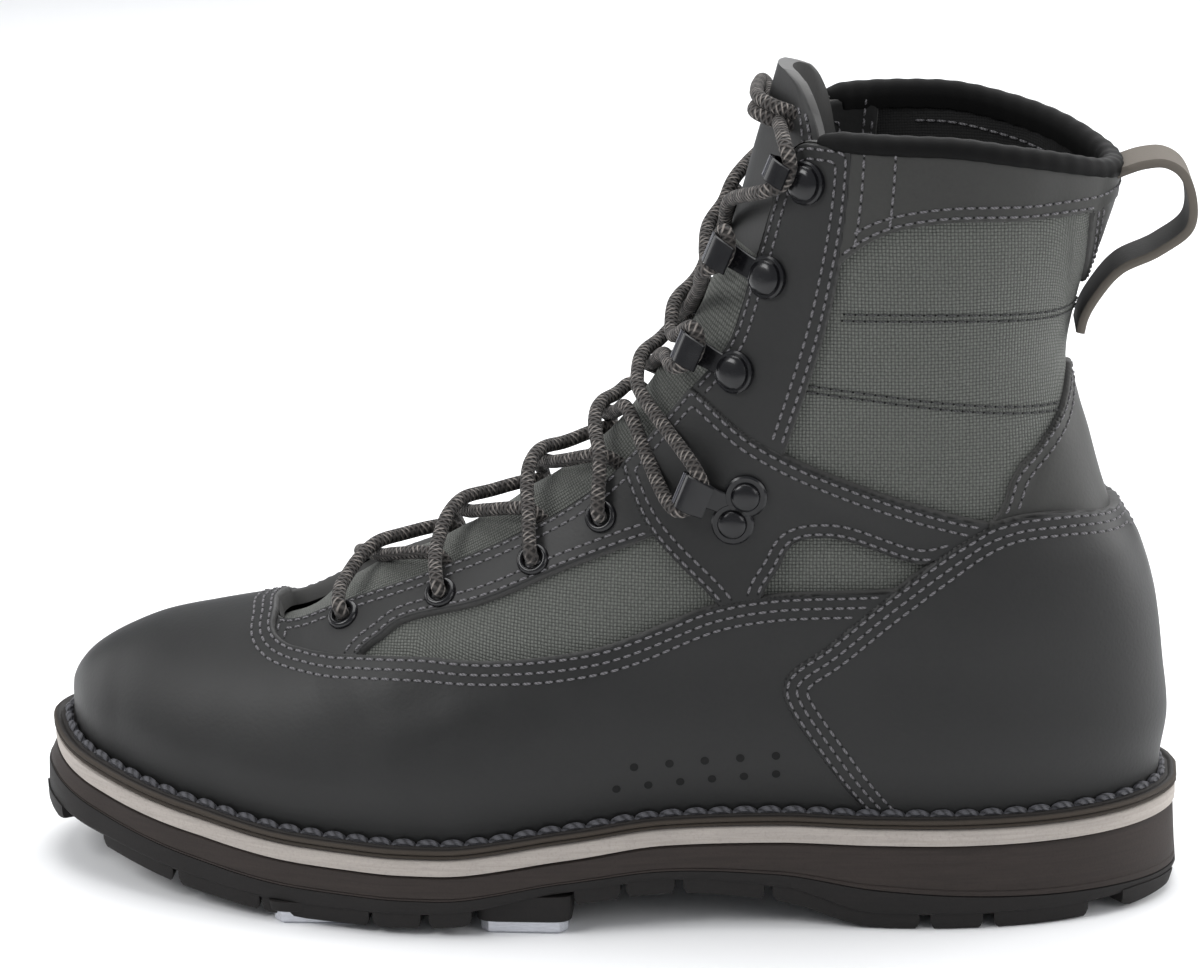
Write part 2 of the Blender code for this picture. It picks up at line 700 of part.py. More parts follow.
def build_outsole():
    n = 22
    base = slab("outsole", [
        base_ring(n, WELT_WIDTH - 0.8, 0.0),
        base_ring(n, WELT_WIDTH + 0.3, 1.2),
        sole_ring(n, WELT_WIDTH + 0.4, 2),
    ])
    points, faces = [], []

    def add(piece):
        start = len(points)
        points.extend(piece[0])
        faces.extend(tuple(start + f for f in face) for face in piece[1])

    for a, b in EDGE_LUGS:
        for side in (-1, 1):
            deep = LUG_DEPTH if 0.05 < a < 0.9 else LUG_DEPTH * 1.6
            add(lug(float(x_at(a)), float(x_at(b)), side, deep))
    for a, b in MID_LUGS:
        add(lug(float(x_at(a)), float(x_at(b)), -1, 0, middle=True))
    for name, along, across in BARS:
        x, y = bar_place(along, across)
        add(box_points(x, y, BAR_SEAT + 1.0, float(base_under(x)) + 1.4,
                       BAR_LENGTH + 4.4, BAR_WIDTH + 4.4, 0))
    lugs = new_object("lugs", points, faces)
    boolean(base, lugs, "UNION", crossed=True)
    for name, along, across in BARS:
        x, y = bar_place(along, across)
        top = BAR_HEIGHT
        seat = new_object("seat", *box_points(x, y, -2.0, top + FIT_GAP,
                                              BAR_LENGTH + 2 * FIT_GAP, BAR_WIDTH + 2 * FIT_GAP, 0))
        boolean(base, seat, "DIFFERENCE")
        new_object(name, *box_points(x, y, 0.0, top, BAR_LENGTH, BAR_WIDTH, 0.8))


def box_points(x, y, z0, z1, length, width, ease):
    a, b = length / 2, width / 2
    corner = 2.2
    ring = [
        (-a + corner, -b), (a - corner, -b), (a, -b + corner), (a, b - corner),
        (a - corner, b), (-a + corner, b), (-a, b - corner), (-a, -b + corner),
    ]
    levels = [(z0, ease), (z0 + max(ease, 0.01), 0.0), (z1, 0.0)] if ease else [(z0, 0), (z1, 0)]
    points, faces = [], []
    for z, inset in levels:
        for px, py in ring:
            points.append((x + px * (1 - inset / a), y + py * (1 - inset / b), z))
    for r in range(len(levels) - 1):
        for i in range(8):
            j = (i + 1) % 8
            faces.append((r * 8 + i, r * 8 + j, r * 8 + 8 + j, r * 8 + 8 + i))
    faces.append(tuple(range(8)))
    faces.append(tuple((len(levels) - 1) * 8 + i for i in range(8)))
    return points, faces


def build_overlays():
    reach = 0.735
    end_nose = 0.752

    def vamp_high(u):
        a = np.abs(u)
        low_part = np.where(a > 0.655, counter_low(u) - share_gap(u, 1.4), 1.0)
        return np.minimum(vamp_top(u), low_part) - share_gap(u)

    band("vamp_leather", -0.703, 0.703, lambda u: 0.012 + 0 * u, vamp_high, 30, 10, OVERLAY)

    def counter_bottom(u):
        a = 1 - np.abs(u - 1)
        return np.where(a < end_nose, counter_low(u) + share_gap(u), 0.0) * (a < end_nose) + (
            0.010 * (a >= end_nose)
        )

    band("heel_counter", 0.690, 1.310, counter_bottom, counter_top, 16, 6, COUNTER_THICK)
    for name, s in (("lateral", 1.0), ("medial", -1.0)):
        def eyestay_low(u):
            w = np.maximum(window_top(u), vamp_top(u) + share_gap(u))
            return w

        def eyestay_high(u):
            cut = np.where(np.abs(u) > 0.40, strap_front(u) - share_gap(u), 1.0)
            return np.minimum(0.985, cut)

        band("eyestay_" + name, 0.035 * s, 0.478 * s, eyestay_low, eyestay_high, 12, 2, OVERLAY)

        def strap_bottom(u):
            b = np.maximum(strap_front(u), strap_low(u) + share_gap(u, 0.4))
            return np.maximum(b, np.where(np.abs(u) > 0.72, counter_top(u) + share_gap(u), 0))

        band("ankle_strap_" + name, 0.496 * s, 0.805 * s, strap_bottom,
             lambda u: np.minimum(0.985, strap_top(u)), 12, 4, OVERLAY, STRAP_GAP)

        def facing_low(u):
            over = np.where(np.abs(u) < 0.60, facing_back(u) * 0, facing_back(u))
            return np.maximum(strap_top(u) + share_gap(u), over)

        band("shaft_facing_" + name, 0.545 * s, 0.724 * s, facing_low,
             lambda u: 0.988 + 0 * u, 10, 3, OVERLAY)

    def collar_high(u):
        a = 1 - np.abs(u - 1)
        return np.minimum(0.975, np.where(a < 0.75, facing_back(u) - share_gap(u, 3.8), 1.0))

    band("collar_band", 0.734, 1.266, collar_low, collar_high, 14, 2, OVERLAY)
    band("back_stay", 0.845, 1.155, lambda u: counter_top(u) + share_gap(u),
         lambda u: np.minimum(stay_edge(u), collar_low(u) - share_gap(u)), 8, 5, OVERLAY, STRAP_GAP)


def build_binding():
    u = np.linspace(0.706, 1.294, 31)
    rim = surface(u, np.ones_like(u))
    n = normal(u, np.ones_like(u))
    n[:, 2] = 0
    n /= np.linalg.norm(n, axis=1, keepdims=True)
    shape = ((-3.4, 0.4), (1.9, 0.4), (2.4, 1.7), (1.0, BINDING_DROP + 0.4),
             (-2.0, BINDING_DROP + 0.5), (-4.0, 1.9))
    rings = [
        np.array([rim[i] + a * n[i] + np.array([0, 0, b]) for a, b in shape])
        for i in range(len(u))
    ]
    points = np.concatenate(rings)
    faces = []
    m = len(shape)
    for r in range(len(rings) - 1):
        for i in range(m):
            j = (i + 1) % m
            faces.append((r * m + i, r * m + j, (r + 1) * m + j, (r + 1) * m + i))
    faces.append(tuple(range(m)))
    faces.append(tuple((len(rings) - 1) * m + i for i in range(m)))
    new_object("collar_binding", points, faces)


def front_surface(x, y):
    """Point of the upper's closed front, found inward from the front line at x."""
    z = float(smooth(LINE_X, LINE_Z, x))
    e = 0.6
    rise = float(smooth(LINE_X, LINE_Z, x + e) - smooth(LINE_X, LINE_Z, x - e)) / (2 * e)
    length = math.sqrt(1 + rise * rise)
    nx, nz = rise / length, -1 / length
    low, high = 0.0, 46.0
    for _ in range(26):
        mid = (low + high) / 2
        if float(half_breadth(x + nx * mid, z + nz * mid, y > 0)) > abs(y):
            high = mid
        else:
            low = mid
    px = x + nx * high
    return np.array([px, y + float(centre_y(np.array(px))), z + nz * high])


def front_point(x, y, depth):
    """Point sunk under the closed front by depth, or lifted off it."""
    e = 1.5
    a = front_surface(x + e, y) - front_surface(x - e, y)
    b = front_surface(x, y + e) - front_surface(x, y - e)
    n = np.cross(a, b)
    n /= np.linalg.norm(n)
    if n[2] < 0 and n[0] > 0:
        n = -n
    return front_surface(x, y) - n * depth


TONGUE_ROWS = (
    # along, half breadth, bulge share
    (0.190, 0.30, 0.0), (0.225, 0.40, 0.0), (0.262, 0.46, 0.7), (0.330, 0.50, 1.0),
    (0.400, 0.52, 1.0), (0.465, 0.54, 1.0), (0.515, 0.56, 1.0), (0.545, 0.58, 1.0),
    (0.570, 0.58, 1.0), (0.592, 0.58, 1.0), (0.610, 0.57, 1.0), (0.626, 0.56, 1.0),
    (0.640, 0.52, 1.0), (0.6445, 0.42, 1.0),
)


def build_tongue():
    across = np.linspace(-1, 1, 11)
    outer, inner = [], []
    for along, half, rise in TONGUE_ROWS:
        x = float(x_at(along))
        for t in across:
            y = t * half * BALL_HALF
            gap = 20.0
            lift = TONGUE_BULGE * rise * math.cos(math.pi / 2 * min(1, abs(y) / gap)) ** 2
            outer.append(front_point(x, y, TONGUE_DEPTH - lift))
            inner.append(front_point(x, y, TONGUE_DEPTH - lift + TONGUE_THICK))
    m = len(across)
    rows = len(TONGUE_ROWS)
    n = m * rows
    faces = []

    def at(i, j, layer):
        return layer * n + i * m + j

    for i in range(rows - 1):
        for j in range(m - 1):
            faces.append((at(i, j, 0), at(i + 1, j, 0), at(i + 1, j + 1, 0), at(i, j + 1, 0)))
            faces.append((at(i, j, 1), at(i, j + 1, 1), at(i + 1, j + 1, 1), at(i + 1, j, 1)))
    for i in range(rows - 1):
        for j in (0, m - 1):
            faces.append((at(i, j, 0), at(i + 1, j, 0), at(i + 1, j, 1), at(i, j, 1)))
    for j in range(m - 1):
        for i in (0, rows - 1):
            faces.append((at(i, j, 0), at(i, j + 1, 0), at(i, j + 1, 1), at(i, j, 1)))
    new_object("tongue", np.array(outer + inner), faces)


def side_point(along, height, medial, out):
    """Point and normal of the upper at a side view position."""
    x = np.array(float(x_at(along)))
    z = np.array(float(z_at(height)))
    e = 0.5
    side = 1.0 if medial else -1.0
    h = float(half_breadth(x, z, medial))
    gx = float(half_breadth(x + e, z, medial) - half_breadth(x - e, z, medial)) / (2 * e)
    gz = float(half_breadth(x, z + e, medial) - half_breadth(x, z - e, medial)) / (2 * e)
    n = np.array([-gx, side, -gz])
    n /= np.linalg.norm(n)
    p = np.array([float(x), side * h + float(centre_y(x)), float(z)])
    return p + n * out, n


def placed(points, origin, n, forward):
    """Local points (forward, across, out) set on the upper."""
    f = forward - n * float(forward @ n)
    f /= np.linalg.norm(f)
    a = np.cross(n, f)
    return [tuple(origin + f * p[0] + a * p[1] + n * p[2]) for p in points]


def disc(cx, cy, radius, z0, z1, sides=10, dome=0.0):
    points, faces = [], []
    levels = [(radius, z0), (radius, z1)]
    if dome:
        levels += [(radius * 0.72, z1 + dome * 0.75)]
    for r, z in levels:
        for i in range(sides):
            a = i * 2 * math.pi / sides
            points.append((cx + r * math.cos(a), cy + r * math.sin(a), z))
    for k in range(len(levels) - 1):
        for i in range(sides):
            j = (i + 1) % sides
            faces.append((k * sides + i, k * sides + j, (k + 1) * sides + j, (k + 1) * sides + i))
    faces.append(tuple(range(sides)))
    top = (len(levels) - 1) * sides
    faces.append(tuple(top + i for i in range(sides)))
    return points, faces


def build_eyelet(name, along, height, medial):
    out = OVERLAY_GAP + OVERLAY + FIT_GAP + 0.25
    origin, n = side_point(along, height, medial, out)
    rings = []
    for r, z in ((EYELET_BORE, 0), (EYELET_OUTER, 0), (EYELET_OUTER - 0.9, EYELET_HEIGHT),
                 (EYELET_BORE + 0.2, EYELET_HEIGHT)):
        a = np.arange(10) * 2 * math.pi / 10
        ring = np.column_stack([r * np.cos(a), r * np.sin(a), np.full(10, z)])
        rings.append(np.array(placed(ring, origin, n, np.array([1.0, 0, 0.3]))))
    points, faces = rings_body(rings, wrap=True)
    new_object(name, points, faces)


def build_hook(name, along, height, medial, reach, twin):
    out = (STRAP_GAP if twin else OVERLAY_GAP) + OVERLAY + FIT_GAP + 0.3
    origin, n = side_point(along, height, medial, out)
    forward = np.array([-0.92, 0.0, 0.38])
    r = HOOK_DISC
    body = new_object(name, *placed_piece(disc(0, 0, r, 0, HOOK_PLATE), origin, n, forward))
    pieces = [disc(0, 0, RIVET_RADIUS, HOOK_PLATE - 0.4, HOOK_PLATE + 0.5, 8, RIVET_RISE)]
    if twin:
        pieces = [
            disc(-1.0, 4.6, RIVET_RADIUS * 0.85, HOOK_PLATE - 0.4, HOOK_PLATE + 0.4, 8, RIVET_RISE),
            disc(-1.0, -4.2, RIVET_RADIUS * 0.85, HOOK_PLATE - 0.4, HOOK_PLATE + 0.4, 8, RIVET_RISE),
            disc(-1.0, 4.6, r * 0.82, 0.05, HOOK_PLATE - 0.05, 10),
            disc(-1.0, -4.2, r * 0.82, 0.05, HOOK_PLATE - 0.05, 10),
        ]
    w = HOOK_ARM / 2
    x0, x1 = r * 0.4, r + reach
    side = [
        (x0, 0.1), (x1 - 2.0, 0.3), (x1, 1.6), (x1 + 0.3, 4.4), (x1 - 1.2, 5.6),
        (x1 - 5.0, 5.2), (x1 - 5.0, 4.2), (x1 - 1.8, 4.3), (x1 - 1.3, 2.4), (x1 - 2.6, 1.5),
        (x0, 1.4),
    ]
    m = len(side)
    points = [(x, -w, z) for x, z in side] + [(x, w, z) for x, z in side]
    faces = [tuple(range(m)), tuple(m + i for i in range(m))]
    faces += [(i, (i + 1) % m, m + (i + 1) % m, m + i) for i in range(m)]
    pieces.append((points, faces))
    for piece in pieces:
        boolean(body, new_object("piece", *placed_piece(piece, origin, n, forward)), "UNION")


def placed_piece(piece, origin, n, forward):
    return placed(piece[0], origin, n, forward), piece[1]


def build_holders():
    for medial, side in ((False, "lateral"), (True, "medial")):
        for name, along, height in HOLDERS:
            full = name + "_" + side
            if name.startswith("eyelet"):
                build_eyelet(full, along, height, medial)
            else:
                build_hook(full, along, height, medial, HOOK_REACH[name], name == "lock_hook")


LACE_LEVELS = (0.270, 0.354, 0.432, 0.494, 0.531, 0.562, 0.593, 0.618)
LACE_HALF = 17.5
LACE_LOW = 1.3
LACE_FIRST_LOW = 0.4
LACE_RAISE = 3.6


def build_laces():
    """Each crossing of the cord is one joined solid over the tongue."""
    for k in range(len(LACE_LEVELS) - 1):
        made = []
        for side in (-1.0, 1.0):
            path = []
            for t in np.linspace(0.10, 0.90, 8):
                x = float(x_at(LACE_LEVELS[k] + (LACE_LEVELS[k + 1] - LACE_LEVELS[k]) * t))
                y = side * LACE_HALF * (2 * t - 1)
                low = LACE_LOW if k else LACE_FIRST_LOW
                lift = low + LACE_RAISE * (y / LACE_HALF) ** 2
                path.append(front_point(x, y, -lift))
            made.append(new_object("lace", *tube(path, LACE_RADIUS)))
        made[0].name = "lace_crossing_%d" % (k + 1)
        boolean(made[0], made[1], "UNION")


def build_loop():
    line = np.array([(float(x_at(a)), float(z_at(b))) for a, b in LOOP_LINE])
    t = np.arange(len(line))
    s = np.linspace(0, len(line) - 1, 25)
    px, pz = np.interp(s, t, line[:, 0]), np.interp(s, t, line[:, 1])
    for _ in range(2):
        px[1:-1] = (px[:-2] + 2 * px[1:-1] + px[2:]) / 4
        pz[1:-1] = (pz[:-2] + 2 * pz[1:-1] + pz[2:]) / 4
    dx, dz = np.gradient(px), np.gradient(pz)
    length = np.hypot(dx, dz)
    nx, nz = -dz / length, dx / length
    half, w = LOOP_THICK / 2, LOOP_WIDTH / 2
    rings = []
    for i in range(len(s)):
        ring = []
        for a, y in ((half, -w), (half, w), (-half, w), (-half, -w)):
            ring.append((px[i] + nx[i] * a, y, pz[i] + nz[i] * a))
        rings.append(np.array(ring))
    points = np.concatenate(rings)
    faces = []
    for r in range(len(rings) - 1):
        for i in range(4):
            j = (i + 1) % 4
            faces.append((r * 4 + i, r * 4 + j, r * 4 + 4 + j, r * 4 + 4 + i))
    faces.append((0, 1, 2, 3))
    end = (len(rings) - 1) * 4
    faces.append((end, end + 1, end + 2, end + 3))
    new_object("pull_loop", points, faces)


# Materials
MATERIALS = {
    "outsole": ("lug_rubber", (0.022, 0.021, 0.020), 0.0, 0.70),
    "wedge": ("wedge_foam", (0.050, 0.038, 0.033), 0.0, 0.75),
    "layer": ("pale_foam", (0.40, 0.35, 0.31), 0.0, 0.80),
    "welt": ("welt_leather", (0.030, 0.025, 0.022), 0.0, 0.65),
    "leather": ("dark_leather", (0.034, 0.034, 0.034), 0.0, 0.55),
    "textile": ("grey_textile", (0.150, 0.165, 0.150), 0.0, 0.85),
    "metal": ("black_metal", (0.015, 0.015, 0.017), 0.8, 0.30),
    "bar": ("bar_metal", (0.62, 0.62, 0.64), 1.0, 0.40),
    "lace": ("lace_braid", (0.060, 0.050, 0.045), 0.0, 0.80),
    "lining": ("black_lining", (0.012, 0.012, 0.012), 0.0, 0.90),
}


def material_key(name):
    for start, key in (
        ("outsole", "outsole"), ("wedge", "wedge"), ("midsole_layer", "layer"),
        ("welt", "welt"), ("upper", "textile"), ("tongue", "textile"),
        ("insole", "lining"), ("collar_binding", "lining"), ("bar", "bar"),
        ("lace", "lace"), ("eyelet", "metal"), ("lock", "metal"), ("hook", "metal"),
        ("top_hook", "metal"),
    ):
        if name.startswith(start):
            return key
    return "leather"


def paint():
    for obj in bpy.context.scene.collection.objects:
        label, colour, metallic, rough = MATERIALS[material_key(obj.name)]
        mat = bpy.data.materials.new(obj.name + "_" + label)
        mat.use_nodes = True
        shader = mat.node_tree.nodes["Principled BSDF"]
        shader.inputs["Base Color"].default_value = (*colour, 1.0)
        shader.inputs["Metallic"].default_value = metallic
        shader.inputs["Roughness"].default_value = rough
        obj.data.materials.clear()
        obj.data.materials.append(mat)


def centre_all():
    """Moves the whole boot so that its box stands centred on the origin."""
    low = Vector((1e9, 1e9, 1e9))
    high = -low
    for obj in bpy.context.scene.collection.objects:
        for v in obj.data.vertices:
            for k in range(3):
                low[k] = min(low[k], v.co[k])
                high[k] = max(high[k], v.co[k])
    shift = Matrix.Translation((-(low[0] + high[0]) / 2, -(low[1] + high[1]) / 2, -low[2]))
    for obj in bpy.context.scene.collection.objects:
        obj.data.transform(shift)
    print("shift", -(low[0] + high[0]) / 2, -(low[1] + high[1]) / 2, -low[2])


def main():
    for obj in list(bpy.data.objects):
        bpy.data.objects.remove(obj)
    build_upper()
    build_sole()
    build_outsole()
    build_overlays()
    build_binding()
    build_tongue()
    build_holders()
    build_laces()
    build_loop()
    paint()
    centre_all()


main()
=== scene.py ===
"""Looks of the left wading boot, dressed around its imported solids.

The toe points to -X, the outer side to -Y.
"""

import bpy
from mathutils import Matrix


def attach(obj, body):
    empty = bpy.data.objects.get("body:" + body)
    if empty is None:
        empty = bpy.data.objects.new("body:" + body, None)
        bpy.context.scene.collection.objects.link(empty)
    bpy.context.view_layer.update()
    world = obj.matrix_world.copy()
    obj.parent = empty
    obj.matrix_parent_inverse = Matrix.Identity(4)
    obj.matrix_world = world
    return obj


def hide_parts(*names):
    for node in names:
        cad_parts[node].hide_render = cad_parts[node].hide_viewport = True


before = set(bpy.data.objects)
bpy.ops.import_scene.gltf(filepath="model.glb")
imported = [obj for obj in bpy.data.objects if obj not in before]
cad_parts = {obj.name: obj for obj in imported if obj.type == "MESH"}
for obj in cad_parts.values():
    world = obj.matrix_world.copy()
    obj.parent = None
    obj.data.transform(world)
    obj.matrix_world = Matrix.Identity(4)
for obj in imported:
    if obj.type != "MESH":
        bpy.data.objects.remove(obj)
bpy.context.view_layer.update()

import copy
import logging
import math
from dataclasses import dataclass, field
from enum import Enum
from typing import Iterable, Optional, Sequence

import bmesh
import bpy
import numpy as np
from mathutils import Matrix, Vector

LOG = logging.getLogger("boot")
MM = 0.001
SHIFT = np.array([1.8193, 0.7398, 0.0])
SIDES = (("lateral", 1.0), ("medial", -1.0))

Table = Sequence[Sequence[float]]
Points = np.ndarray
Socket = bpy.types.NodeSocket
Dressing = tuple[Socket, Socket, Socket, float]


class Slot(Enum):
    """Material slots of the record."""

    LEATHER = "leather"
    TEXTILE = "textile"
    LINING = "lining"
    METAL = "black_metal"
    LACE = "lace"
    WELT = "welt_leather"
    LAYER = "pale_foam"
    WEDGE = "wedge_foam"
    RUBBER = "lug_rubber"
    BAR = "bar_metal"


# Curves and numbers


def smooth(xs: Points, ys: Points, at: Points) -> Points:
    """Monotone cubic through rows of numbers.

    Args:
        xs: rising places of the rows.
        ys: values of the rows.
        at: places that are asked for.

    Returns:
        The value at each place, held at the ends.
    """
    xs, ys = np.asarray(xs, float), np.asarray(ys, float)
    at = np.clip(np.asarray(at, float), xs[0], xs[-1])
    step = np.diff(xs)
    slope = np.diff(ys) / step
    turn = np.concatenate([slope[:1], np.zeros(len(xs) - 2), slope[-1:]])
    both = slope[:-1] * slope[1:] > 0
    turn[1:-1][both] = 2 * slope[:-1][both] * slope[1:][both] / (slope[:-1] + slope[1:])[both]
    k = np.clip(np.searchsorted(xs, at, side="right") - 1, 0, len(xs) - 2)
    t = (at - xs[k]) / step[k]
    return ((1 + 2 * t) * (1 - t) ** 2 * ys[k] + t * (1 - t) ** 2 * step[k] * turn[k]
            + t * t * (3 - 2 * t) * ys[k + 1] + t * t * (t - 1) * step[k] * turn[k + 1])


def column(table: Table, n: int, scale: float = 1.0) -> Points:
    """Column n of a table, scaled."""
    return np.array([row[n] for row in table], float) * scale


def ramp(a: float, b: float, x: Points) -> Points:
    """Soft step from 0 at a to 1 at b."""
    t = np.clip((x - a) / (b - a), 0.0, 1.0)
    return t * t * (3 - 2 * t)


def arch(s: Points, power: float) -> Points:
    """Rounded rise from 0 to 1, steep at the start."""
    s = np.clip(s, 0.0, 1.0)
    return (1 - (1 - s) ** power) ** (1 / power)


def curve_through(points: Sequence[Sequence[float]], spacing: float, closed: bool = False) -> Points:
    """Smooth curve through given points.

    Args:
        points: the points, in two or three numbers each.
        spacing: distance between the points that are returned.
        closed: True if the curve returns to its start.

    Returns:
        Evenly spaced points along a centripetal spline.
    """
    p = np.asarray(points, float)
    ring = np.concatenate([p[-1:], p, p[:2]]) if closed else np.concatenate(
        [2 * p[:1] - p[1:2], p, 2 * p[-1:] - p[-2:-1]])
    out = []
    for i in range(1, len(ring) - 2):
        a, b, c, d = ring[i - 1], ring[i], ring[i + 1], ring[i + 2]
        ta = max(np.linalg.norm(b - a), 1e-6) ** 0.5
        tb = max(np.linalg.norm(c - b), 1e-6) ** 0.5
        tc = max(np.linalg.norm(d - c), 1e-6) ** 0.5
        m1 = (b - a) / ta - (c - a) / (ta + tb) + (c - b) / tb
        m2 = (c - b) / tb - (d - b) / (tb + tc) + (d - c) / tc
        t = np.linspace(0, 1, 12, endpoint=False)[:, None]
        out.append((2 * t ** 3 - 3 * t ** 2 + 1) * b + (t ** 3 - 2 * t ** 2 + t) * m1 * tb
                   + (3 * t ** 2 - 2 * t ** 3) * c + (t ** 3 - t ** 2) * m2 * tb)
    out.append(ring[1 if closed else len(ring) - 2][None])
    return resample(np.concatenate(out), spacing)


def resample(line: Points, spacing: float) -> Points:
    """Points at an even spacing along a polyline.

    Args:
        line: the polyline.
        spacing: wished distance between points.

    Returns:
        The new points, ends included.
    """
    seg = np.linalg.norm(np.diff(line, axis=0), axis=1)
    at = np.concatenate([[0], np.cumsum(seg)])
    n = max(2, int(round(at[-1] / spacing)) + 1)
    want = np.linspace(0, at[-1], n)
    return np.stack([np.interp(want, at, line[:, k]) for k in range(line.shape[1])], axis=1)


def unit(v: Points) -> Points:
    """Vectors scaled to length one."""
    return v / np.maximum(np.linalg.norm(v, axis=-1, keepdims=True), 1e-12)


# Shape of the upper


@dataclass
class BootForm:
    """The surface of the upper in millimetres, as in the part's source, and a dense grid of it."""

    length: float = 322.0
    collar: float = 221.0
    ball: float = 54.0
    cover: float = 2.2
    fit_gap: float = 0.3
    bulge: float = 1.8
    around_steps: int = 960
    up_steps: int = 200
    raster_step: float = 0.75
    tip: float = 1.296
    ridge: Table = (
        # along, height, as shares
        (0.0124, 0.163), (0.0140, 0.190), (0.0186, 0.222), (0.0280, 0.249),
        (0.0435, 0.2715), (0.0714, 0.296), (0.1056, 0.317), (0.155, 0.335),
        (0.220, 0.3575), (0.261, 0.395), (0.357, 0.459), (0.435, 0.526),
        (0.497, 0.597), (0.534, 0.663), (0.578, 0.762), (0.606, 0.864),
        (0.624, 0.955), (0.643, 1.050), (0.668, 1.186),
    )
    back: Table = (
        # height, along
        (0.100, 0.976), (0.174, 0.978), (0.233, 0.983), (0.301, 0.978),
        (0.369, 0.972), (0.446, 0.957), (0.496, 0.938), (0.587, 0.919),
        (0.692, 0.902), (0.783, 0.913), (0.855, 0.929), (0.905, 0.938),
        (0.950, 0.939), (1.200, 0.941),
    )
    foot: Table = (
        # along, lateral, medial, centre, arch radius
        (0.012, 0.800, 0.760, 0.380, 0.36), (0.037, 0.800, 0.750, 0.310, 0.47),
        (0.053, 0.780, 0.740, 0.280, 0.56), (0.078, 0.752, 0.728, 0.250, 0.66),
        (0.152, 0.754, 0.724, 0.167, 0.80), (0.199, 0.796, 0.728, 0.130, 0.87),
        (0.245, 0.839, 0.750, 0.093, 0.92), (0.289, 0.889, 0.769, 0.075, 0.95),
        (0.335, 0.926, 0.787, 0.056, 0.98), (0.376, 0.926, 0.778, 0.044, 1.01),
        (0.419, 0.893, 0.750, 0.028, 1.03), (0.463, 0.843, 0.704, 0.014, 1.03),
        (0.503, 0.796, 0.657, 0.000, 1.01), (0.543, 0.750, 0.611, 0.000, 0.93),
        (0.587, 0.717, 0.589, 0.000, 0.86), (0.630, 0.700, 0.574, 0.000, 0.80),
        (0.671, 0.691, 0.580, 0.000, 0.84), (0.714, 0.691, 0.598, 0.000, 0.84),
        (0.755, 0.691, 0.626, 0.000, 0.84), (0.811, 0.694, 0.657, 0.000, 0.84),
        (0.981, 0.694, 0.676, 0.000, 0.84),
    )
    shaft: Table = (
        # height, half, back radius
        (0.100, 0.680, 1.296), (0.270, 0.667, 1.220), (0.385, 0.639, 1.080),
        (0.489, 0.620, 0.960), (0.588, 0.639, 0.870), (0.724, 0.704, 0.850),
        (0.860, 0.759, 0.870), (1.000, 0.796, 0.890), (1.186, 0.815, 0.890),
    )
    ribs: Table = (
        # around, foot along, top along, top half, top height, hub from along, height, hub to along, height
        (0.00, 0.0197, 0.211, 0.00, 0.353, 0.177, 0.181, 0.196, 0.199),
        (0.03, 0.0260, 0.213, 0.10, 0.351, 0.177, 0.181, 0.198, 0.200),
        (0.08, 0.058, 0.218, 0.22, 0.353, 0.177, 0.181, 0.205, 0.208),
        (0.14, 0.113, 0.232, 0.29, 0.361, 0.183, 0.181, 0.227, 0.217),
        (0.22, 0.199, 0.262, 0.34, 0.380, 0.220, 0.181, 0.264, 0.226),
        (0.30, 0.289, 0.323, 0.37, 0.418, 0.295, 0.181, 0.326, 0.244),
        (0.38, 0.376, 0.395, 0.38, 0.472, 0.379, 0.181, 0.400, 0.281),
        (0.46, 0.463, 0.475, 0.39, 0.541, 0.469, 0.190, 0.488, 0.339),
        (0.53, 0.543, 0.572, 0.43, 0.665, 0.556, 0.190, 0.624, 0.498),
        (0.58, 0.593, 0.620, 0.47, 0.737, 0.612, 0.190, 0.680, 0.633),
        (0.62, 0.630, 0.636, 0.51, 0.842, 0.655, 0.181, 0.717, 0.769),
        (0.66, 0.668, 0.652, 0.54, 0.940, 0.686, 0.181, 0.748, 0.882),
        (0.685, 0.692, 0.661, 0.57, 0.975, 0.702, 0.181, 0.765, 0.950),
        (0.70, 0.708, 0.677, 0.62, 0.986, 0.717, 0.181, 0.773, 0.973),
        (0.73, 0.733, 0.717, 0.70, 0.986, 0.736, 0.181, 0.780, 0.982),
        (0.78, 0.780, 0.786, 0.76, 0.984, 0.761, 0.181, 0.786, 0.984),
        (0.84, 0.835, 0.848, 0.70, 0.970, 0.773, 0.181, 0.786, 0.970),
        (0.90, 0.894, 0.898, 0.54, 0.952, 0.786, 0.181, 0.789, 0.952),
        (0.95, 0.938, 0.929, 0.30, 0.935, 0.792, 0.181, 0.790, 0.935),
        (0.98, 0.9615, 0.938, 0.13, 0.930, 0.795, 0.181, 0.792, 0.930),
        (1.00, 0.9690, 0.940, 0.00, 0.928, 0.795, 0.181, 0.792, 0.928),
    )
    sole: Table = (
        # along, ground, outsole top, wedge top, layer top, welt top
        (0.000, 0.0610, 0.1180, 0.1400, 0.1640, 0.1790),
        (0.065, 0.0430, 0.0920, 0.1175, 0.1425, 0.1570),
        (0.158, 0.0180, 0.0640, 0.0955, 0.1200, 0.1335),
        (0.252, 0.0080, 0.0500, 0.0815, 0.1055, 0.1180),
        (0.360, 0.0100, 0.0480, 0.0790, 0.1030, 0.1155),
        (0.469, 0.0360, 0.0680, 0.0960, 0.1205, 0.1325),
        (0.562, 0.0470, 0.0790, 0.1110, 0.1350, 0.1465),
        (0.655, 0.0350, 0.0720, 0.1125, 0.1370, 0.1490),
        (0.740, 0.0000, 0.0520, 0.1095, 0.1335, 0.1455),
        (0.873, 0.0000, 0.0400, 0.1090, 0.1330, 0.1455),
        (0.940, 0.0030, 0.0370, 0.1095, 0.1335, 0.1465),
        (1.000, 0.0090, 0.0320, 0.1115, 0.1350, 0.1480),
    )
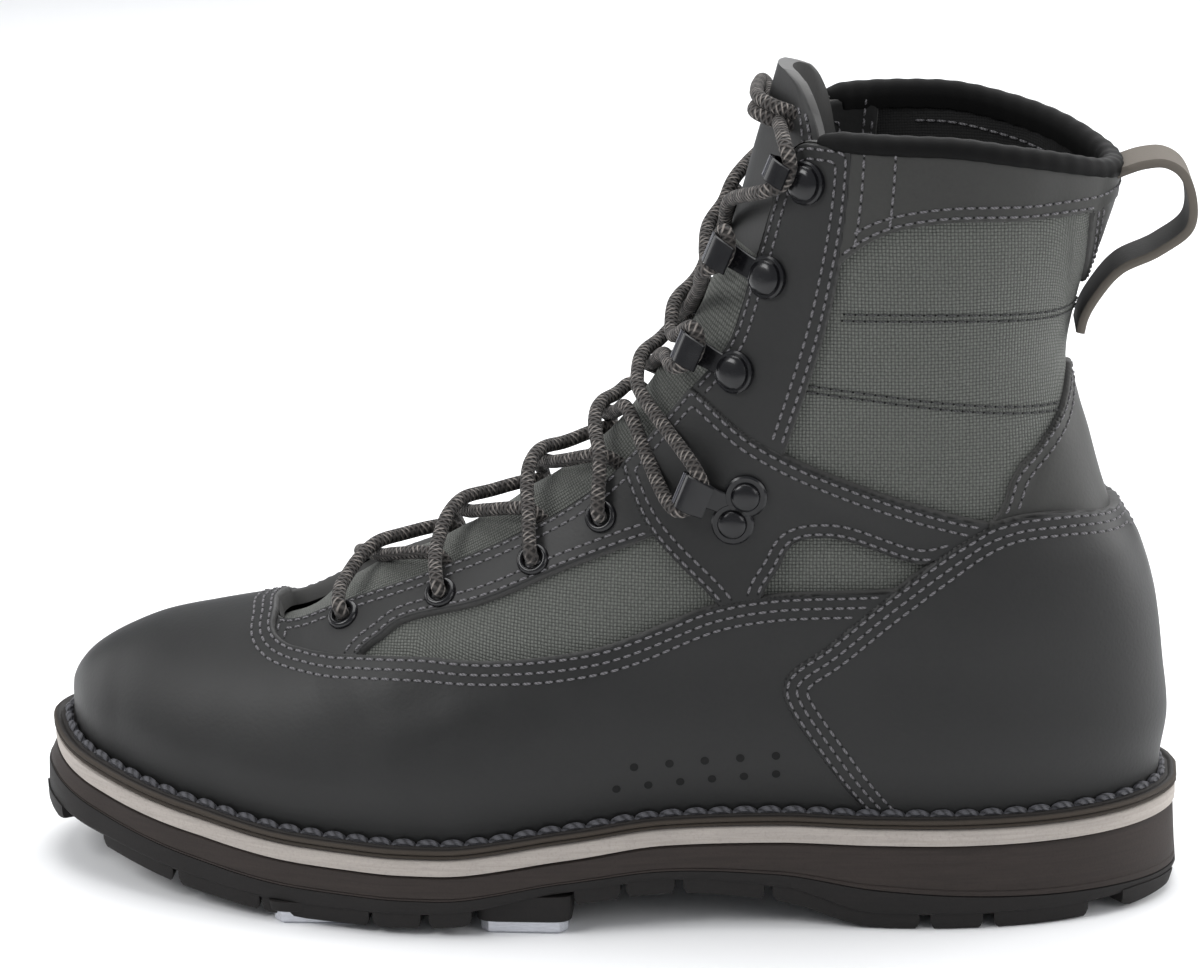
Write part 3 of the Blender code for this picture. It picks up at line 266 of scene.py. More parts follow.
    # Soft troughs and ridges: x, z, reach along, reach up, tilt in degrees, depth
    creases: Table = (
        (112.0, 125.0, 16.0, 2.6, 62.0, 0.55), (120.0, 131.0, 15.0, 2.4, 70.0, 0.45),
        (96.0, 132.0, 26.0, 4.0, 8.0, 0.50), (92.0, 147.0, 28.0, 4.5, -4.0, -0.40),
        (98.0, 166.0, 26.0, 4.5, 6.0, 0.45), (80.0, 178.0, 20.0, 4.0, -8.0, -0.35),
        (-52.0, 62.0, 24.0, 5.0, 24.0, 0.35), (-34.0, 60.0, 26.0, 5.0, 30.0, -0.30),
        (60.0, 120.0, 20.0, 4.0, -30.0, 0.30), (122.0, 203.0, 16.0, 5.0, 70.0, 0.50),
        (133.0, 204.0, 12.0, 3.5, 82.0, -0.50), (20.0, 100.0, 20.0, 4.0, -50.0, 0.25),
    )

    def __post_init__(self) -> None:
        """Works out the front line, the rasters and the dense grid."""
        rx, rz = self.x_at(column(self.ridge, 0)), self.z_at(column(self.ridge, 1))
        self.line_x = np.unique(np.concatenate([np.linspace(a, b, 5) for a, b in zip(rx[:-1], rx[1:])]))
        self.line_z = smooth(rx, rz, self.line_x)
        self.foot_x = self.x_at(column(self.foot, 0))
        self.levels = self.z_at(column(self.shaft, 0))
        self.raster_x = np.arange(-172.0, 172.0, self.raster_step)
        self.raster_z = np.arange(14.0, 266.0, self.raster_step)
        gx, gz = np.meshgrid(self.raster_x, self.raster_z, indexing="ij")
        self.front_map = self._line_distance(gx, gz)
        around = -1 + 2 * np.arange(self.around_steps) / self.around_steps
        up = np.linspace(0, 1, self.up_steps + 1)
        self.around, self.up = around, up
        self.aa = np.broadcast_to(around[:, None], (len(around), len(up)))
        self.medial = self.aa < 0
        self.p = self.surface(self.aa, up[None, :])
        self.n = self._normals(self.p)
        self._press_creases()
        self.lay = self._cloth_lay()

    def x_at(self, share: Points) -> Points:
        """Place along the sole, from a share of its length."""
        return (np.asarray(share, float) - 0.5) * self.length

    def z_at(self, share: Points) -> Points:
        """Height, from a share of the collar's height."""
        return np.asarray(share, float) * self.collar

    def ridge_z(self, x: Points) -> Points:
        """Height of the front line at x."""
        return smooth(self.line_x, self.line_z, x)

    def _line_distance(self, x: Points, z: Points) -> Points:
        """Distance to the front line in the side view, positive behind it.

        Args:
            x: places along the boot.
            z: heights.

        Returns:
            The signed distances.
        """
        ax, az = self.line_x[:-1], self.line_z[:-1]
        bx, bz = self.line_x[1:] - ax, self.line_z[1:] - az
        best = np.full(x.shape, 1e9)
        for k in range(len(ax)):
            px, pz = x - ax[k], z - az[k]
            t = np.clip((px * bx[k] + pz * bz[k]) / (bx[k] ** 2 + bz[k] ** 2), 0, 1)
            best = np.minimum(best, (px - t * bx[k]) ** 2 + (pz - t * bz[k]) ** 2)
        inside = (z < self.ridge_z(x)) | (x > self.line_x[-1])
        return np.where(inside, 1.0, -1.0) * np.sqrt(best)

    def sample(self, raster: Points, x: Points, z: Points) -> Points:
        """Bilinear value of a raster at side view places.

        Args:
            raster: the values.
            x: places along the boot.
            z: heights.

        Returns:
            A value for each place.
        """
        fx = np.clip((x - self.raster_x[0]) / self.raster_step, 0, len(self.raster_x) - 1.001)
        fz = np.clip((z - self.raster_z[0]) / self.raster_step, 0, len(self.raster_z) - 1.001)
        i, j = fx.astype(int), fz.astype(int)
        a, b = fx - i, fz - j
        return ((raster[i, j] * (1 - a) + raster[i + 1, j] * a) * (1 - b)
                + (raster[i, j + 1] * (1 - a) + raster[i + 1, j + 1] * a) * b)

    def centre_y(self, x: Points) -> Points:
        """Sideways place of the boot's middle line at x."""
        return smooth(self.foot_x, column(self.foot, 3, self.ball), x)

    def sole_z(self, n: int, x: Points) -> Points:
        """Height of column n of the sole's table at x."""
        return smooth(self.x_at(column(self.sole, 0)), self.z_at(column(self.sole, n)), x)

    def half_breadth(self, x: Points, z: Points, medial: Points) -> Points:
        """Half breadth of the upper beside its middle line at a point of the side view.

        Args:
            x: places along the boot.
            z: heights.
            medial: True for the inner side.

        Returns:
            Distances from the middle line.
        """
        x, z = np.broadcast_arrays(np.asarray(x, float), np.asarray(z, float))
        fx = self.foot_x
        foot = np.where(medial, smooth(fx, column(self.foot, 2, self.ball), x),
                        smooth(fx, column(self.foot, 1, self.ball), x))
        toe = self.x_at(0.0124) + self.cover
        foot = foot * arch((x - toe) / (self.tip * self.ball), 2.0)
        over = z - self.sole_z(5, x) - self.fit_gap
        foot = foot + self.bulge * ramp(0, 16, over) * (1 - ramp(16, 44, over))
        shaft = smooth(self.levels, column(self.shaft, 1, self.ball), z)
        full = foot + (shaft - foot) * ramp(55, 118, z)
        flat = self.ridge_z(x) - z
        front = flat + (self.sample(self.front_map, x, z) - flat) * ramp(-125, -70, x)
        radius = smooth(fx, column(self.foot, 4, self.ball), x)
        back_x = smooth(self.z_at(column(self.back, 0)), self.x_at(column(self.back, 1)), z)
        back_r = smooth(self.levels, column(self.shaft, 2, self.ball), z)
        return ((full - self.cover) * arch((front - self.cover) / radius, 2.15)
                * arch((back_x - self.cover - x) / back_r, 2.05))

    def surface(self, around: Points, up: Points) -> Points:
        """Points of the upper.

        Args:
            around: 0 at the toe and 1 at the heel, by the lateral side, negative on the medial side.
            up: 0 at the welt and 1 at the top edge.

        Returns:
            The points.
        """
        around, up = np.broadcast_arrays(np.asarray(around, float), np.asarray(up, float))
        around = (around + 1) % 2 - 1
        medial = around < 0
        side = np.where(medial, 1.0, -1.0)
        u = np.abs(around)
        rib = [smooth(column(self.ribs, 0), column(self.ribs, n), u) for n in range(1, 9)]
        fx = self.x_at(rib[0])
        fz = self.sole_z(5, fx) + self.fit_gap
        fy = side * self.half_breadth(fx, fz, medial)
        cx = fx + (self.x_at(rib[1]) - fx) * up
        cy = fy + (side * rib[2] * self.ball - fy) * up
        cz = fz + (self.z_at(rib[3]) - fz) * up
        ox = self.x_at(rib[4]) + (self.x_at(rib[6]) - self.x_at(rib[4])) * up
        oz = self.z_at(rib[5]) + (self.z_at(rib[7]) - self.z_at(rib[5])) * up
        dx, dy, dz = cx - ox, cy, cz - oz
        low, high = np.zeros_like(cx), np.full_like(cx, 2.2)
        for _ in range(22):
            mid = (low + high) / 2
            inside = self.half_breadth(ox + dx * mid, oz + dz * mid, medial) > np.abs(dy * mid) + 1e-6
            low, high = np.where(inside, mid, low), np.where(inside, high, mid)
        px = ox + dx * low
        return np.stack([px, dy * low + self.centre_y(px), oz + dz * low], axis=-1)

    def _normals(self, p: Points) -> Points:
        """Outward normals of the closed grid.

        Args:
            p: the grid's points.

        Returns:
            A unit vector for each point.
        """
        du = np.roll(p, -1, axis=0) - np.roll(p, 1, axis=0)
        dv = np.gradient(p, axis=1)
        return unit(np.cross(du, dv))

    def crease_depth(self, px: Points, pz: Points) -> Points:
        """Depth of the table's soft troughs at a place of the side view.

        Args:
            px: places along the boot.
            pz: heights.

        Returns:
            The depths.
        """
        depth = np.zeros(np.shape(px))
        for x, z, along, up, tilt, deep in self.creases:
            c, s = math.cos(math.radians(tilt)), math.sin(math.radians(tilt))
            a = (px - x) * c + (pz - z) * s
            b = (pz - z) * c - (px - x) * s
            depth = depth + deep * np.exp(-(a / along) ** 2 - (b / up) ** 2)
        return depth

    def _press_creases(self) -> None:
        """Presses the table's soft troughs into the grid."""
        self.p = self.p - self.n * self.crease_depth(self.p[..., 0], self.p[..., 2])[..., None]
        self.n = self._normals(self.p)

    def _cloth_lay(self) -> Points:
        """Place of each grid point in the flat cloth: distance along at one height, and up.

        Returns:
            Two numbers for each point.
        """
        gx, gz = np.meshgrid(self.raster_x, self.raster_z, indexing="ij")
        out = np.zeros(self.p.shape[:2] + (2,))
        for medial in (False, True):
            h = self.half_breadth(gx, gz, medial)
            sx = np.minimum(np.abs(np.gradient(h, self.raster_step, axis=0)), 2.5)
            sz = np.minimum(np.abs(np.gradient(h, self.raster_step, axis=1)), 2.5)
            s = np.cumsum(np.sqrt(1 + sx ** 2), axis=0) * self.raster_step
            t = np.cumsum(np.sqrt(1 + sz ** 2), axis=1) * self.raster_step
            s -= s[len(self.raster_x) * 2 // 3][None, :]
            t -= t[:, len(self.raster_z) // 3][:, None]
            here = self.medial == medial
            x, z = self.p[..., 0][here], self.p[..., 2][here]
            out[here] = np.stack([self.sample(s, x, z), self.sample(t, x, z)], axis=-1)
        return out

    def side_point(self, x: float, z: float, medial: bool) -> tuple[Points, Points]:
        """Point and outward normal of the upper at a place of the side view.

        Args:
            x: place along the boot.
            z: height.
            medial: True for the inner side.

        Returns:
            The point and its normal.
        """
        side, e = (1.0, 0.6) if medial else (-1.0, 0.6)
        xs, zs = np.array([x, x + e, x - e, x, x]), np.array([z, z, z, z + e, z - e])
        h = self.half_breadth(xs, zs, medial)
        n = unit(np.array([-(h[1] - h[2]) / (2 * e), side, -(h[3] - h[4]) / (2 * e)]))
        p = np.array([x, side * h[0] + float(self.centre_y(np.array(x))), z])
        return p - n * float(self.crease_depth(x, z)), n

    def front_surface(self, x: Points, y: Points) -> Points:
        """Points of the closed front, found inward from the front line at x.

        Args:
            x: places along the boot.
            y: places across it, from its middle line.

        Returns:
            The points.
        """
        x, y = np.broadcast_arrays(np.asarray(x, float), np.asarray(y, float))
        e = 0.6
        rise = (self.ridge_z(x + e) - self.ridge_z(x - e)) / (2 * e)
        size = np.sqrt(1 + rise * rise)
        nx, nz, z = rise / size, -1 / size, self.ridge_z(x)
        low, high = np.zeros_like(x), np.full_like(x, 46.0)
        for _ in range(24):
            mid = (low + high) / 2
            deep = self.half_breadth(x + nx * mid, z + nz * mid, y > 0) > np.abs(y)
            low, high = np.where(deep, low, mid), np.where(deep, mid, high)
        px = x + nx * high
        return np.stack([px, y + self.centre_y(px), z + nz * high], axis=-1)

    def front_point(self, x: Points, y: Points, out: Points) -> Points:
        """Points lifted off the closed front by out, or sunk if out is negative.

        Args:
            x: places along the boot.
            y: places across it, from its middle line.
            out: distance off the front.

        Returns:
            The points.
        """
        x, y, out = np.broadcast_arrays(np.asarray(x, float), np.asarray(y, float), np.asarray(out, float))
        e = 1.5
        a = self.front_surface(x + e, y) - self.front_surface(x - e, y)
        b = self.front_surface(x, y + e) - self.front_surface(x, y - e)
        n = unit(np.cross(a, b))
        n = np.where(((n[..., 2] < 0) & (n[..., 0] > 0))[..., None], -n, n)
        return self.front_surface(x, y) + n * out[..., None]

    def ring(self, out: float) -> Points:
        """Plan ring of the feather edge, moved outward, in the grid's order.

        Args:
            out: distance outward.

        Returns:
            A row of places along and across.
        """
        p = self.p[:, 0, :2]
        d = np.roll(p, -3, axis=0) - np.roll(p, 3, axis=0)
        n = unit(np.stack([d[:, 1], -d[:, 0]], axis=1))
        if n[len(n) // 2, 0] > 0:
            n = -n
        return p + n * out

    def sole_ring(self, out: float, level: int, lift: float = 0.0) -> Points:
        """Ring of the sole outside the feather edge, on one of the table's levels."""
        p = self.ring(out)
        return np.column_stack([p, self.sole_z(level, p[:, 0]) + lift])


# Meshes


def make_object(name: str, points: Points, faces: Iterable[Sequence[int]], material: bpy.types.Material,
                slot: Slot, replaces: Sequence[str] = (), lay: Optional[Points] = None,
                closed: bool = False, sharp: float = 42.0) -> bpy.types.Object:
    """Makes a piece that rides on the boot.

    Args:
        name: the piece's plain name.
        points: corners in millimetres, in the source's own place.
        faces: corner numbers of each face.
        material: finish of all faces.
        slot: not used.
        replaces: solids that it stands for.
        lay: three numbers a corner that the finish reads.
        closed: True to turn all faces outward.
        sharp: angle in degrees over which an edge stays crisp.

    Returns:
        The object.
    """
    mesh = bpy.data.meshes.new(name)
    world = (np.asarray(points, float) + SHIFT) * MM
    mesh.from_pydata(world.tolist(), [], [tuple(int(i) for i in f) for f in faces])
    if closed:
        bm = bmesh.new()
        bm.from_mesh(mesh)
        bmesh.ops.recalc_face_normals(bm, faces=bm.faces)
        bm.to_mesh(mesh)
        bm.free()
    mesh.polygons.foreach_set("use_smooth", np.ones(len(mesh.polygons), bool))
    mesh.set_sharp_from_angle(angle=math.radians(sharp))
    if lay is not None:
        data = mesh.attributes.new("lay", "FLOAT_VECTOR", "POINT").data
        data.foreach_set("vector", np.asarray(lay, np.float32).ravel())
    mesh.materials.append(material)
    obj = bpy.data.objects.new(name, mesh)
    bpy.context.scene.collection.objects.link(obj)
    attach(obj, "root")
    if replaces:
        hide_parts(*replaces)
    return obj


@dataclass
class Soup:
    """Collects parts of one mesh."""

    points: list = field(default_factory=list)
    faces: list = field(default_factory=list)
    lay: list = field(default_factory=list)
    count: int = 0

    def add(self, points: Points, faces: Iterable[Sequence[int]], lay: Optional[Points] = None) -> None:
        """Adds corners and faces, with what the finish reads at each corner.

        Args:
            points: the corners.
            faces: corner numbers of each face.
            lay: what the finish reads.
        """
        points = np.asarray(points, float)
        self.points.append(points)
        self.lay.append(np.zeros((len(points), 3)) if lay is None else np.asarray(lay, float))
        self.faces.extend(tuple(self.count + i for i in f) for f in faces)
        self.count += len(points)

    def make(self, name: str, material: bpy.types.Material, slot: Slot, **words) -> bpy.types.Object:
        """Makes the piece from what was collected."""
        return make_object(name, np.concatenate(self.points), self.faces, material, slot,
                           lay=np.concatenate(self.lay), **words)


def tube(path: Points, radius: Points, sides: int = 8, up: Optional[Points] = None,
         flat: float = 1.0) -> tuple[Points, list, Points]:
    """Tube along a path with round ends.

    Args:
        path: middle line.
        radius: one radius, or one for each point.
        sides: corners of a ring.
        up: direction that stays on top, for each point, or None for a steady twist free frame.
        flat: height of the section against its width.

    Returns:
        Corners, faces and a lay of length along, angle and end mark.
    """
    path = np.asarray(path, float)
    along = unit(np.gradient(path, axis=0))
    radius = np.broadcast_to(np.asarray(radius, float), (len(path),))
    if up is None:
        ref = np.array([0.3, 0.1, 1.0])
        side = np.cross(along[0], ref)
        frames = []
        for t in along:
            side = unit(side - t * float(side @ t))
            frames.append(side)
        a = np.array(frames)
    else:
        a = unit(np.cross(along, up))
    b = np.cross(a, along)
    angle = np.arange(sides) * 2 * math.pi / sides
    ring = (np.cos(angle)[None, :, None] * a[:, None] + flat * np.sin(angle)[None, :, None] * b[:, None])
    points = (path[:, None] + ring * radius[:, None, None]).reshape(-1, 3)
    size = np.concatenate([[0], np.cumsum(np.linalg.norm(np.diff(path, axis=0), axis=1))])
    lay = np.stack([np.repeat(size, sides), np.tile(angle, len(path)), np.zeros(len(points))], axis=1)
    faces = []
    for r in range(len(path) - 1):
        for i in range(sides):
            j = (i + 1) % sides
            faces.append((r * sides + i, r * sides + j, (r + 1) * sides + j, (r + 1) * sides + i))
    faces.append(tuple(range(sides))[::-1])
    faces.append(tuple((len(path) - 1) * sides + i for i in range(sides)))
    return points, faces, lay


def lofted(rings: Sequence[Points], wrap: bool = False, cap: bool = True) -> tuple[Points, list]:
    """Faces that join closed rings of equal length.

    Args:
        rings: the rings, in order.
        wrap: True if the last joins the first.
        cap: True to close the first and last ring with strips.

    Returns:
        Corners and faces.
    """
    count, total = len(rings[0]), len(rings)
    faces = []
    for r in range(total if wrap else total - 1):
        a, b = r * count, ((r + 1) % total) * count
        for i in range(count):
            j = (i + 1) % count
            faces.append((a + i, a + j, b + j, b + i))
    if cap and not wrap:
        for base in (0, (total - 1) * count):
            for i in range(count // 2):
                face = [base + i, base + i + 1, base + (count - i - 1) % count, base + (count - i) % count]
                clean = [f for k, f in enumerate(face) if f not in face[:k]]
                if len(clean) > 2:
                    faces.append(tuple(clean))
    return np.concatenate(rings), faces


def turned(profile: Sequence[tuple[float, float]], origin: Points, axis: Points, forward: Points,
           sides: int = 40) -> tuple[Points, list]:
    """Round body turned about an axis, closed where its profile starts and ends on the axis.

    Args:
        profile: radius and height of each ring.
        origin: foot of the axis.
        axis: direction of the axis.
        forward: direction of the first corner.
        sides: corners of a ring.

    Returns:
        Corners and faces.
    """
    f = unit(forward - axis * float(forward @ axis))
    a = np.cross(axis, f)
    angle = np.arange(sides) * 2 * math.pi / sides
    around = np.cos(angle)[:, None] * f + np.sin(angle)[:, None] * a
    return lofted([origin + r * around + z * axis for r, z in profile])


# Panels cut from the grid


@dataclass
class Patch:
    """Distances over the grid to a panel's edge in millimetres, positive inside the panel."""

    form: BootForm
    inside: Points

    def both(self, other: "Patch") -> "Patch":
        """The part that lies in both patches."""
        return Patch(self.form, np.minimum(self.inside, other.inside))

    def less(self, other: "Patch", gap: float = 0.0) -> "Patch":
        """This patch without the other one."""
        return Patch(self.form, np.minimum(self.inside, -other.inside - gap))

    def half(self, sign: float) -> "Patch":
        """The part on one side of the boot, lateral if sign is positive.

        Args:
            sign: 1 for the lateral side, -1 for the medial side.

        Returns:
            The half patch.
        """
        off = (self.form.p[..., 1] - self.form.centre_y(self.form.p[..., 0])) * -sign
        here = np.where(np.sign(self.form.aa + 1e-9) == sign, np.maximum(off, 0.01), -5.0)
        return Patch(self.form, np.minimum(self.inside, here))


def outline_patch(form: BootForm, outline: Sequence[tuple[float, float]],
                  hidden: Sequence[int] = ()) -> Patch:
    """Patch inside a closed outline of the side view, on both sides of the boot.

    Args:
        form: the upper.
        outline: corners of the outline, along and height in millimetres.
        hidden: numbers of the outline's spans that lie under another panel and count as no edge.

    Returns:
        The patch, with true distances to its edges over the surface.
    """
    spans = []
    pts = np.array(outline, float)
    n = len(pts)
    for k in range(n):
        after = pts[(k + 1) % n]
        if k in hidden:
            spans.append((np.linspace(pts[k], after, 8), True))
            continue
        a = pts[k - 1] if (k - 1) % n not in hidden else 2 * pts[k] - after
        d = pts[(k + 2) % n] if (k + 1) % n not in hidden else 2 * after - pts[k]
        line = curve_through([a, pts[k], after, d], 1.5)
        i = int(np.argmin(np.linalg.norm(line - pts[k], axis=1)))
        j = int(np.argmin(np.linalg.norm(line - after, axis=1)))
        spans.append((np.concatenate([pts[k][None], line[i + 1:j], after[None]]), False))
    polygon = np.concatenate([s[:-1] for s, _ in spans])
    x, z = form.p[..., 0], form.p[..., 2]
    within = np.zeros(x.shape, bool)
    for a, b in zip(polygon, np.roll(polygon, -1, axis=0)):
        cross = (a[1] > z) != (b[1] > z)
        within ^= cross & (x < (b[0] - a[0]) * (z - a[1]) / (b[1] - a[1] + 1e-12) + a[0])
    best = np.full(x.shape, 30.0)
    for medial in (False, True):
        here = form.medial == medial
        q = form.p[here]
        near = np.full(len(q), 30.0)
        for line, is_hidden in spans:
            if is_hidden:
                continue
            h = form.half_breadth(line[:, 0], line[:, 1], medial)
            y = (1 if medial else -1) * h + form.centre_y(line[:, 0])
            w = np.column_stack([line[:, 0], y, line[:, 1]])
            low, high = w.min(0) - 13, w.max(0) + 13
            pick = np.nonzero(((q > low) & (q < high)).all(1))[0]
            d = np.full(len(pick), 30.0)
            for a, b in zip(w[:-1], w[1:]):
                ab = b - a
                t = np.clip((q[pick] - a) @ ab / max(float(ab @ ab), 1e-9), 0, 1)
                d = np.minimum(d, np.linalg.norm(q[pick] - a - t[:, None] * ab, axis=1))
            near[pick] = np.minimum(near[pick], d)
        best[here] = near
    return Patch(form, np.where(within, best, -best))


def rim_patch(form: BootForm, inset: float) -> Patch:
    """Everything that lies more than inset below the upper's edge.

    Args:
        form: the upper.
        inset: distance from the upper's edge.

    Returns:
        The patch.
    """
    near = np.full(form.p.shape[:2], 30.0)
    first = int(form.up_steps * 0.82)
    for i in range(form.around_steps):
        span = np.arange(i - 24, i + 25, 2) % form.around_steps
        d = np.linalg.norm(form.p[i, first:, None] - form.p[span, -1][None], axis=2)
        near[i, first:] = d.min(axis=1)
    return Patch(form, near - inset)


def cut(patch: Patch, gap: float, thick: float, round_over: float = 0.9,
        edge_share: float = 0.42) -> tuple[Points, list, Points]:
    """Cuts a panel out of the grid, with a rounded edge and a wall down to the surface.

    Args:
        patch: where the panel lies.
        gap: height of the panel's underside over the upper.
        thick: thickness of the panel.
        round_over: width of the rounding at its edge.
        edge_share: share of the thickness that stays upright at the edge.

    Returns:
        Corners, faces and the lay of the cloth with the distance from the edge.
    """
    form, f = patch.form, patch.inside
    nu, nv = f.shape
    keep = f > 0
    number = np.full(f.shape, -1)
    edge = []

    def lift(d: Points) -> Points:
        """Height of the panel's face at a distance from its edge."""
        t = 1 - np.clip(np.asarray(d) / round_over, 0, 1)
        return gap + thick * (edge_share + (1 - edge_share) * np.sqrt(np.maximum(1 - t * t, 0)))

    ii, jj = np.nonzero(keep)
    number[ii, jj] = np.arange(len(ii))
    pts = list(form.p[ii, jj] + form.n[ii, jj] * lift(f[ii, jj])[:, None])
    lays = list(np.column_stack([form.lay[ii, jj], np.minimum(f[ii, jj], 50)]))
    nxt = (np.arange(nu) + 1) % nu
    k00, k10 = keep[:, :-1], keep[nxt][:, :-1]
    k01, k11 = keep[:, 1:], keep[nxt][:, 1:]
    whole = k00 & k10 & k01 & k11
    part = (k00 | k10 | k01 | k11) & ~whole
    a, b = np.nonzero(whole)
    c = nxt[a]
    faces = list(zip(number[a, b], number[c, b], number[c, b + 1], number[a, b + 1]))
    made = {}
    low = {}

    def crossing(i0: int, j0: int, i1: int, j1: int) -> int:
        """Corner where the panel's edge crosses a line of the grid.

        Args:
            i0: first place around.
            j0: first place up.
            i1: second place around.
            j1: second place up.

        Returns:
            The number of the corner.
        """
        key = (i0, j0, i1, j1) if (i0, j0) < (i1, j1) else (i1, j1, i0, j0)
        if key not in made:
            i, j, k, m = key
            t = f[i, j] / (f[i, j] - f[k, m])
            p = form.p[i, j] * (1 - t) + form.p[k, m] * t
            n = unit(form.n[i, j] * (1 - t) + form.n[k, m] * t)
            made[key] = len(pts)
            pts.append(p + n * float(lift(0.0)))
            lays.append(np.append(form.lay[i, j] * (1 - t) + form.lay[k, m] * t, 0.0))
            low[made[key]] = len(pts)
            pts.append(p + n * (gap - 0.5))
            lays.append(np.append(form.lay[i, j], -0.5))
        return made[key]

    for i, j in zip(*np.nonzero(part)):
        corner = [(i, j), (int(nxt[i]), j), (int(nxt[i]), j + 1), (i, j + 1)]
        poly = []
        for k in range(4):
            here, after = corner[k], corner[(k + 1) % 4]
            if keep[here]:
                poly.append((number[here], False))
            if keep[here] != keep[after]:
                poly.append((crossing(*here, *after), keep[here]))
        faces.append(tuple(q for q, _ in poly))
        for k, (q, leaves) in enumerate(poly):
            after = poly[(k + 1) % len(poly)][0]
            if leaves and q in low and after in low:
                edge.append((after, q, low[q], low[after]))
    return np.array(pts), faces + edge, np.array(lays)


def contour(patch: Patch, level: float, where: Points) -> list[tuple[Points, Points]]:
    """Lines over the surface at one distance inside a patch's edge.

    Args:
        patch: the patch whose edge the lines follow.
        level: distance from the edge.
        where: grid of numbers, positive where a line may run.

    Returns:
        For each line its points and the surface's normals.
    """
    form, f = patch.form, patch.inside - level
    nu = f.shape[0]
    nxt = (np.arange(nu) + 1) % nu
    s = f > 0
    mixed = (s[:, :-1] != s[nxt][:, :-1]) | (s[:, :-1] != s[:, 1:]) | (s[:, :-1] != s[nxt][:, 1:])
    links: dict = {}
    value: dict = {}
    for i, j in zip(*np.nonzero(mixed & (where[:, :-1] > 0))):
        corner = [(i, j), (int(nxt[i]), j), (int(nxt[i]), j + 1), (i, j + 1)]
        keys = []
        for k in range(4):
            p, q = sorted((corner[k], corner[(k + 1) % 4]))
            if s[p] != s[q]:
                t = f[p] / (f[p] - f[q])
                value[(p, q)] = (form.p[p] * (1 - t) + form.p[q] * t, form.n[p] * (1 - t) + form.n[q] * t)
                keys.append((p, q))
        if len(keys) == 2:
            links.setdefault(keys[0], []).append(keys[1])
            links.setdefault(keys[1], []).append(keys[0])
    lines, seen = [], set()
    starts = [k for k, v in links.items() if len(v) == 1] + list(links)
    for start in starts:
        if start in seen:
            continue
        chain, here = [start], start
        seen.add(start)
        while True:
            after = [k for k in links[here] if k not in seen]
            if not after:
                break
            here = after[0]
            seen.add(here)
            chain.append(here)
        if len(chain) > 6:
            p = np.array([value[k][0] for k in chain])
            n = np.array([value[k][1] for k in chain])
            for _ in range(4):
                p[1:-1] = (p[:-2] + 2 * p[1:-1] + p[2:]) / 4
                n[1:-1] = (n[:-2] + 2 * n[1:-1] + n[2:]) / 4
            lines.append((p, unit(n)))
    return lines


# Materials


@dataclass
class Graph:
    """Adds nodes to one tree."""

    tree: bpy.types.NodeTree

    def node(self, kind: str, values: Optional[dict] = None, **settings) -> bpy.types.Node:
        """Adds a node.

        Args:
            kind: Blender's name of the node.
            values: number, colour or linked socket for each named or numbered input.
            settings: settings of the node itself.

        Returns:
            The node.
        """
        made = self.tree.nodes.new(kind)
        for key, value in settings.items():
            setattr(made, key, value)
        for key, value in (values or {}).items():
            socket = made.inputs[key]
            if isinstance(value, Socket):
                self.tree.links.new(value, socket)
            else:
                socket.default_value = value
        return made

    def math(self, operation: str, a: object, b: object = 0.0) -> Socket:
        """Result of one sum or comparison."""
        return self.node("ShaderNodeMath", {0: a, 1: b}, operation=operation).outputs[0]

    def span(self, value: object, low: float, high: float, to_low: float = 0.0,
             to_high: float = 1.0) -> Socket:
        """A value carried from one range to another, held at the ends."""
        return self.node("ShaderNodeMapRange", {0: value, 1: low, 2: high, 3: to_low, 4: to_high}).outputs[0]

    def blend(self, share: object, a: object, b: object) -> Socket:
        """Colour between a and b.

        Args:
            share: share of b.
            a: first colour or socket.
            b: second colour or socket.

        Returns:
            The mixed colour.
        """
        made = self.node("ShaderNodeMix", data_type="RGBA")
        for key, value in ((0, share), (6, a), (7, b)):
            if isinstance(value, Socket):
                self.tree.links.new(value, made.inputs[key])
            elif key == 0:
                made.inputs[key].default_value = value
            else:
                made.inputs[key].default_value = (*value, 1.0)
        return made.outputs[2]

    def noise(self, place: object, scale: float, detail: float = 2.0,
              rough: float = 0.5) -> Socket:
        """Soft noise, from 0 to 1."""
        values = {"Vector": place, "Scale": scale, "Detail": detail, "Roughness": rough}
        return self.node("ShaderNodeTexNoise", values).outputs[0]

    def group(self, tree: bpy.types.NodeTree, **values) -> bpy.types.Node:
        """Places a shared effect with its own values.

        Args:
            tree: the effect.
            values: number or socket for each input.

        Returns:
            The node.
        """
        made = self.node("ShaderNodeGroup", node_tree=tree)
        for key, value in values.items():
            socket = made.inputs[key.replace("_", " ")]
            if isinstance(value, Socket):
                self.tree.links.new(value, socket)
            else:
                socket.default_value = value
        return made


def new_effect(name: str, inputs: Sequence[tuple[str, str, object]],
               outputs: Sequence[str]) -> tuple[bpy.types.NodeTree, Graph, bpy.types.Node, bpy.types.Node]:
    """Starts a shared effect.

    Args:
        name: the effect's name.
        inputs: name, kind and standing value of each input.
        outputs: names of the outputs, each one a number.

    Returns:
        The tree, its graph, its input node and its output node.
    """
    tree = bpy.data.node_groups.new(name, "ShaderNodeTree")
    for label, kind, value in inputs:
        socket = tree.interface.new_socket(label, in_out="INPUT", socket_type=kind)
        if value is not None:
            socket.default_value = value
    for label in outputs:
        tree.interface.new_socket(label, in_out="OUTPUT", socket_type="NodeSocketFloat")
    graph = Graph(tree)
    return tree, graph, graph.node("NodeGroupInput"), graph.node("NodeGroupOutput")


